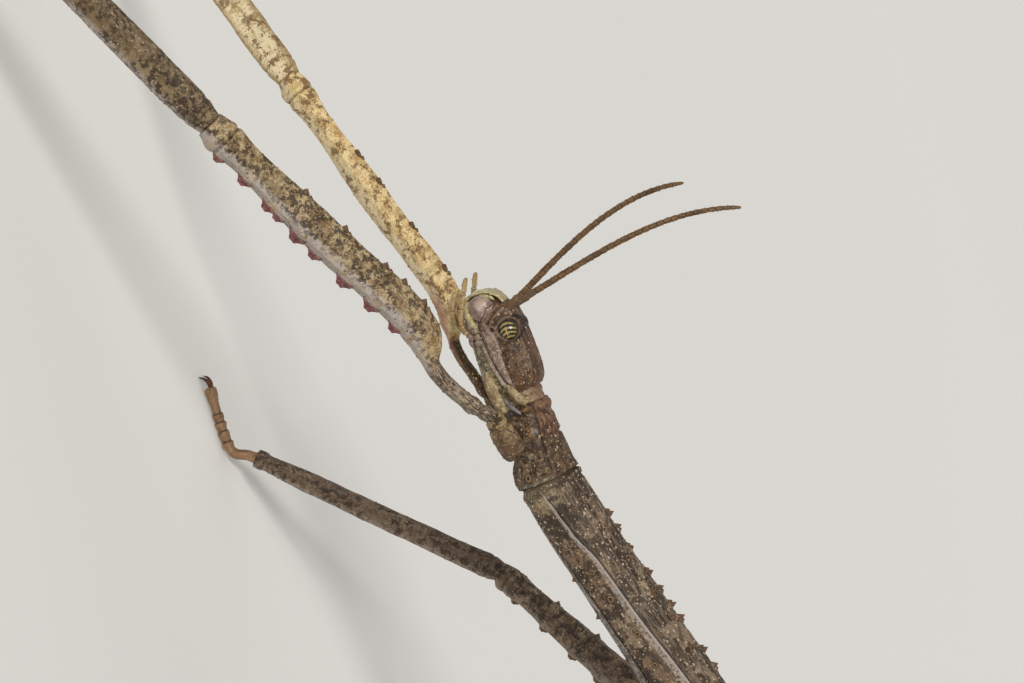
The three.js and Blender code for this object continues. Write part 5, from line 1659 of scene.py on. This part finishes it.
# Antennae: a stout first joint, then slim rings that lengthen towards the tip.
antennaShape = {
    "root": (9.2, 1.25, 2.3), "scale": 26 / 25.6, "ring": 0.95,
    "left": [(2.8, 2.6, 6.8), (7.6, 3.4, 15.2), (5.9, 6.7, 23.4)],
    "right": [(1.2, -2.3, 8.0), (4.1, -3.6, 17.3), (0.7, -6.7, 25.3)],
    "radius": [(0, 0.5), (0.055, 0.48), (0.07, 0.38), (0.1, 0.37), (0.6, 0.31), (0.96, 0.24), (1, 0.12)],
}
antennaLook = {
    "base": ("#6a4e2f", "#543b22", 1.2), "roughness": 0.45, "gritHeight": 0.25, "bump": 0.04,
    "layers": [streaks(1.0, 0.16, 0.42, "#8a6c45", 0.6), band("markA", -0.05, 0.09, 0.06, "#2e1b09", 0.7),
               band("along", -1.0, 2.4, 0.5, "#6f573f", 0.75), grains(0.3, 0.25, 0.4, "#33200d", 0.5)],
}
antennaHorn = cuticle("antennaHorn", antennaLook)
for side, hand in bothSides.items():
    x, y, z = antennaShape["root"]
    root = np.array([x, y * hand, z])
    bends = [root] + [root + np.array(knot) * antennaShape["scale"] for knot in antennaShape[side]]
    path = pathAlong([fromHead(spot) for spot in bezier(bends)])
    count = round(path.length / antennaShape["ring"])
    joints = [0.062, *(0.095 + 0.89 * (k / count) ** 0.95 for k in range(count))]
    feeler = jointedSkin(path, curveThrough(antennaShape["radius"]), joints, 620, waist=0.05)
    hairs = hairsOn(feeler, path.length, 2.0, 0.42, 0.2, 71, 0.5, 1, (0.08, 0.995), 0.9)
    pour(f"antenna_{side}_rings", [closedPart(feeler), hairs], [antennaHorn, fineHair],
         [f"antenna_{side}"])

# Neck: soft wrinkled skin from inside the head to under the collar.
neckLook = {
    "base": ("#c2ac82", "#a38c63", 0.8), "roughness": 0.45, "gritHeight": 0.25, "bump": 0.06,
    "layers": [wrinkles(0.9, 0.7, "#5c4b34", 0.5, height=0.45, inverse=True),
               lichen(1.1, 0.35, "#dccda0", 0.6, edge=0.08),
               lichen(0.4, 0.34, "#5a482c", 0.6, edge=0.04, crumble=0.6, shift=8.0),
               band("top", 0.45, 2.0, 0.3, "#6b4a37", 0.7)],
}


def neckSkin():
    start, end = fromHead((0.9, 0, 0)), bodyPath(np.array(2.0 / bodyLength))[0]
    sweep = {"path": bendThrough([start, fromHead((0, 0, 0)), end]), "level": rightward, "squareness": 2.1,
             "top": curveThrough([(0, 1.9), (0.5, 1.95), (1, 2.0)]),
             "side": curveThrough([(0, 1.95), (0.5, 2.05), (1, 2.2)]),
             "bottom": curveThrough([(0, 3.0), (0.4, 2.85), (1, 2.3)])}

    def folds(u, angle, grain):
        return 0.12 * np.sin(u * 22 + 1.6 * lumps(grain, 1.2, 81)) * (1 - u) + 0.06 * lumps(grain, 0.5, 82)

    return skinOn(sweep, np.linspace(0, 1, 70), turnsOf(80), folds)


# Soft rolls beside the neck, and the smooth bar between them.
neckRolls = [([(3.4, 1.7, -2.7), (1.6, 2.1, -2.75), (0.0, 2.35, -2.5), (-1.4, 2.45, -2.2)],
              [(0, 0.3), (0.3, 0.62), (0.8, 0.6), (1, 0.3)], 0),
             ([(1.3, 2.1, -0.9), (0.4, 2.35, -0.6), (-0.5, 2.5, -0.1), (-1.2, 2.5, 0.4)],
              [(0, 0.3), (0.4, 0.5), (1, 0.35)], 0),
             ([(0.3, 2.3, -2.0), (-0.6, 2.5, -1.5), (-1.4, 2.6, -1.0), (-2.0, 2.6, -0.6)],
              [(0, 0.12), (0.4, 0.24), (0.8, 0.22), (1, 0.1)], 1)]


def foldedDents(u, angle, grain):
    return bumps(grain, (0.1, 0.9, 85, 1.3), (0.04, 0.35, 86))


def barDents(u, angle, grain):
    return 0.02 * lumps(grain, 0.4, 84)


def neckParts():
    parts = [closedPart(neckSkin())]
    return parts + rollParts(neckRolls, 50, [foldedDents, barDents])


barLook = {"base": ("#5f5658", "#7d7378", 0.5), "roughness": 0.25, "gritHeight": 0.1, "bump": 0.03,
           "layers": [lichen(0.5, 0.36, "#a39b9f", 0.6, edge=0.1)], "shader": {"Coat Weight": 0.3}}
pour("neck_skin", neckParts(), [cuticle("neckFold", neckLook), cuticle("neckBar", barLook)],
     ["neck"])
print("head, mouth, feelers and neck set")

# Wings lie folded along the back: leathery plates with raised veins, each from a station to another.
wingPlans = {
    "wing": {"from": 60.9, "to": 121.8, "inner": 2.0, "outer": 62, "lift": 1.1, "thickness": 0.55, "veins": 9,
             "vein": 0.13, "cross": 0.0, "hump": 0.0},
    "tegmen": {"from": 52.9, "to": 86.8, "inner": 2.0, "outer": 56, "lift": 2.0, "thickness": 0.5, "veins": 7,
               "vein": 0.16, "cross": 0.05, "hump": 0.35},
}
wingLook = {
    "base": ("#554534", "#6d5d48", 3.0), "roughness": 0.55, "gritHeight": 0.25, "bump": 0.07,
    "layers": [
        streaks(9.0, 0.5, 0.46, "#85745e", 0.5, edge=0.07, height=0.15),
        lichen(4.4, 0.42, "#3a2d20", 0.6, edge=0.03, crumble=0.4, shift=22.0),
        lichen(2.6, 0.4, "#31271b", 0.75, edge=0.03, crumble=0.35),
        lichen(1.6, 0.34, "#8f7f69", 0.6, edge=0.03, shift=12.0),
        band("markA", 0.45, 2.0, 0.2, "#8a7355", 0.65, height=0.2),
        band("markB", 0.86, 2.0, 0.05, "#a0958a", 0.7),
        wrinkles(0.6, 1.4, height=0.25),
    ],
}
leatherWing = cuticle("leatherWing", wingLook)


def leafShare(u):
    return np.sin(math.pi * np.minimum(1, 0.12 + 0.88 * u)) ** 0.45


def wingGrid(plan, hand):
    u = np.linspace(0, 1, 230)[:, None]
    v = np.linspace(0, 1, 64)[None, :]
    station = plan["from"] + u * (plan["to"] - plan["from"])
    angle = plan["inner"] + (6 + plan["outer"] * leafShare(u) - plan["inner"]) * v
    spread = v * plan["veins"]
    fan = np.clip(leafShare(u), 0, 1)
    within = softStep(v, 0.02, 0.1) * (1 - softStep(v, 0.97, 1.0))
    vein = crest((spread - np.round(spread)) / fan, 0.22) * within
    crossing = np.sin(u * 150 + np.floor(spread) * 2.1) ** 12 * plan["cross"]
    hump = plan["hump"] * crest(u - 0.24, 0.12) * crest(v - 0.55, 0.35)
    grain = np.stack([station + 0 * v, angle * 0.075 * hand + 0 * station, 0 * angle], -1)
    lift = plan["lift"] + plan["vein"] * vein + crossing * (1 - vein) + hump
    edges = 0.35 * softStep(v, 0.9, 1.0) + 0.3 * softStep(-u, -0.06, 0.0) + 0.25 * softStep(u, 0.93, 1.0)
    lift = lift + 0.06 * lumps(grain * [0.5, 1, 1], 1.4, 91) - edges
    points = sweepPoint(bodySweep, station / bodyLength + 0 * v, -hand * angle, lift)
    zone = np.stack([u + 0 * v, v + 0 * u, 0 * angle], -1)
    return sheetPart(points, plan["thickness"], grain, zone, np.stack([vein, v + 0 * u, 0 * vein], -1))


for side, hand in bothSides.items():
    for kind, plan in wingPlans.items():
        pour(f"{kind}_{side}_leaf", [wingGrid(plan, hand)], [leatherWing], [f"{kind}_{side}"])

# Tail: two long leaf-shaped cerci with a midrib, and the keeled plate under the last joints.
tailShape = {"cercusLength": 20, "spread": 9, "dip": 14, "plateFrom": 1, "plateTo": 3, "plateReach": 46,
             "plateLift": 1.2, "plateThickness": 0.75}


def cercusSkin(hand):
    start = jointPoints[-1] + np.array([-0.3, 1.3 * hand, 0.2])
    end = start + direction(180 - tailShape["spread"] * hand, tailShape["dip"]) * tailShape["cercusLength"]
    path = bendThrough([start, (start + end) / 2 + [0, 0.8 * hand, 0.5], end])
    thick = curveThrough([(0, 0.5), (0.5, 0.4), (1, 0.2)])
    wide = curveThrough([(0, 0.7), (0.12, 1.1), (0.45, 2.0), (0.7, 1.9), (0.92, 1.0), (1, 0.3)])

    def rib(u, angle, grain):
        top = np.abs(np.cos(np.radians(angle)))
        veins = np.abs(np.sin(grain[..., 1] * 4.2)) ** 6
        ribs = 0.22 * crest(grain[..., 1], 0.22) + 0.05 * veins
        return ribs * top + 0.05 * lumps(grain * [0.5, 1, 1], 1.1, 92)

    def plain(u, angle, grain):
        return np.full(grain.shape, 9.0)

    leaf = {"path": path, "level": rightward, "top": thick, "side": wide}
    return skinOn(leaf, np.linspace(0, 1, 130), turnsOf(64), rib, plain)


def platePart():
    start = bodyJoints["abdomen_8"] + tailShape["plateFrom"]
    end = bodyJoints["tail"] + tailShape["plateTo"]
    u, v = np.linspace(0, 1, 110)[:, None], np.linspace(-1, 1, 60)[None, :]
    station = start + u * (end - start)
    angle = 180 + tailShape["plateReach"] * (1 - 0.6 * u) * v
    keel = 0.3 * crest(v, 0.12) * (1 - 0.5 * u)
    grain = np.stack([station + 0 * v, angle * 0.05, 0 * angle], -1)
    lift = tailShape["plateLift"] + keel - 0.5 * softStep(np.abs(v), 0.86, 1.0)
    lift = lift + 0.06 * lumps(grain * [0.5, 1, 1], 1.2, 93)
    beyond = np.maximum(station - bodyLength, 0)
    points = sweepPoint(bodySweep, np.minimum(station / bodyLength, 1) + 0 * v, -angle, lift)
    points = points + bodyPath(np.array(1.0))[1] * beyond[..., None]
    return sheetPart(points, tailShape["plateThickness"], grain,
                     np.stack([u + 0 * v, 0 * angle, 0 * angle], -1),
                     np.stack([keel * 2, np.abs(v) + 0 * u, 0 * angle], -1))


for side, hand in bothSides.items():
    cercus = cercusSkin(hand)
    pour(f"cercus_{side}_leaf", [closedPart(cercus),
                                 hairsOn(cercus, 20, 7, 1.0, 0.25, 94, 0.4, 1, (0.1, 0.98))],
         [abdomenBark, fineHair], [f"cercus_{side}"])
pour("operculum_plate", [platePart()], [leatherWing], ["operculum"])
print("wings and tail set")

# Studio: a pale floor, an even soft light and a camera turned with the insect.
studio = {
    "floorSize": 9.0, "floor": "#e9e6e1", "floorShade": "#e2e0db", "sky": "#f2f1ee", "skyStrength": 0.46,
    "keyFrom": (0.28, 0.78, 0.58), "keyPower": 2.0, "keyWidth": 16, "fillFrom": (-0.5, -0.5, 0.8),
    "fillPower": 0.5, "fillWidth": 60,
}
view = {
    "offset": (41.03, 316.78, 82.86), "right": (-0.3084, -0.2148, 0.9267), "up": (0.9481, -0.1495, 0.2808),
    "back": (0.0782, 0.9652, 0.2497), "lens": 106.73,
}


def aimed(holder, axes, place=(0, 0, 0)):
    matrix = np.eye(4)
    matrix[:3, :3], matrix[:3, 3] = np.stack(axes, -1), place
    holder.matrix_world = Matrix(matrix.tolist())
    return holder


def setCamera():
    camera = bpy.data.cameras.new("view")
    camera.lens, camera.sensor_width, camera.sensor_fit = view["lens"], 36.0, "HORIZONTAL"
    camera.clip_start, camera.clip_end = 0.01, 60.0
    place = (np.array([0, 0, bodyPlan["frontHeight"]]) + modelShift + view["offset"]) * mm
    bpy.context.scene.camera = aimed(placed("view", camera), [view["right"], view["up"], view["back"]], place)


def floorMaterial():
    material, tree, shader = newMaterial("paleFloor")
    place = put(tree, "TexCoord").outputs["Object"]
    cloud = noise(tree, place, 1.5, 2.0)
    tree.links.new(mixed(tree, cloud, studio["floor"], studio["floorShade"]), shader.inputs["Base Color"])
    shader.inputs["Roughness"].default_value = 0.85
    return material


def setSun(name, source, power, width):
    lamp = bpy.data.lights.new(name, "SUN")
    lamp.energy, lamp.angle = power, math.radians(width)
    away = unit(np.array(source))
    side = unit(np.cross([0, 0, 1.0], away))
    aimed(placed(name, lamp), [side, np.cross(away, side), away])


def setStudio():
    half = studio["floorSize"] / 2
    mesh = bpy.data.meshes.new("floor")
    mesh.from_pydata([(-half, -half, 0), (half, -half, 0), (half, half, 0), (-half, half, 0)], [],
                     [(0, 1, 2, 3)])
    mesh.materials.append(floorMaterial())
    placed("floor", mesh)
    world = bpy.data.worlds.new("studio")
    world.use_nodes = True
    sky = world.node_tree.nodes["Background"]
    sky.inputs["Color"].default_value = paint(studio["sky"])
    sky.inputs["Strength"].default_value = studio["skyStrength"]
    bpy.context.scene.world = world
    setSun("key", studio["keyFrom"], studio["keyPower"], studio["keyWidth"])
    setSun("fill", studio["fillFrom"], studio["fillPower"], studio["fillWidth"])
    bpy.context.scene.view_settings.view_transform = "Standard"


setCamera()
setStudio()
print("studio set:", len(pieces), "pieces")
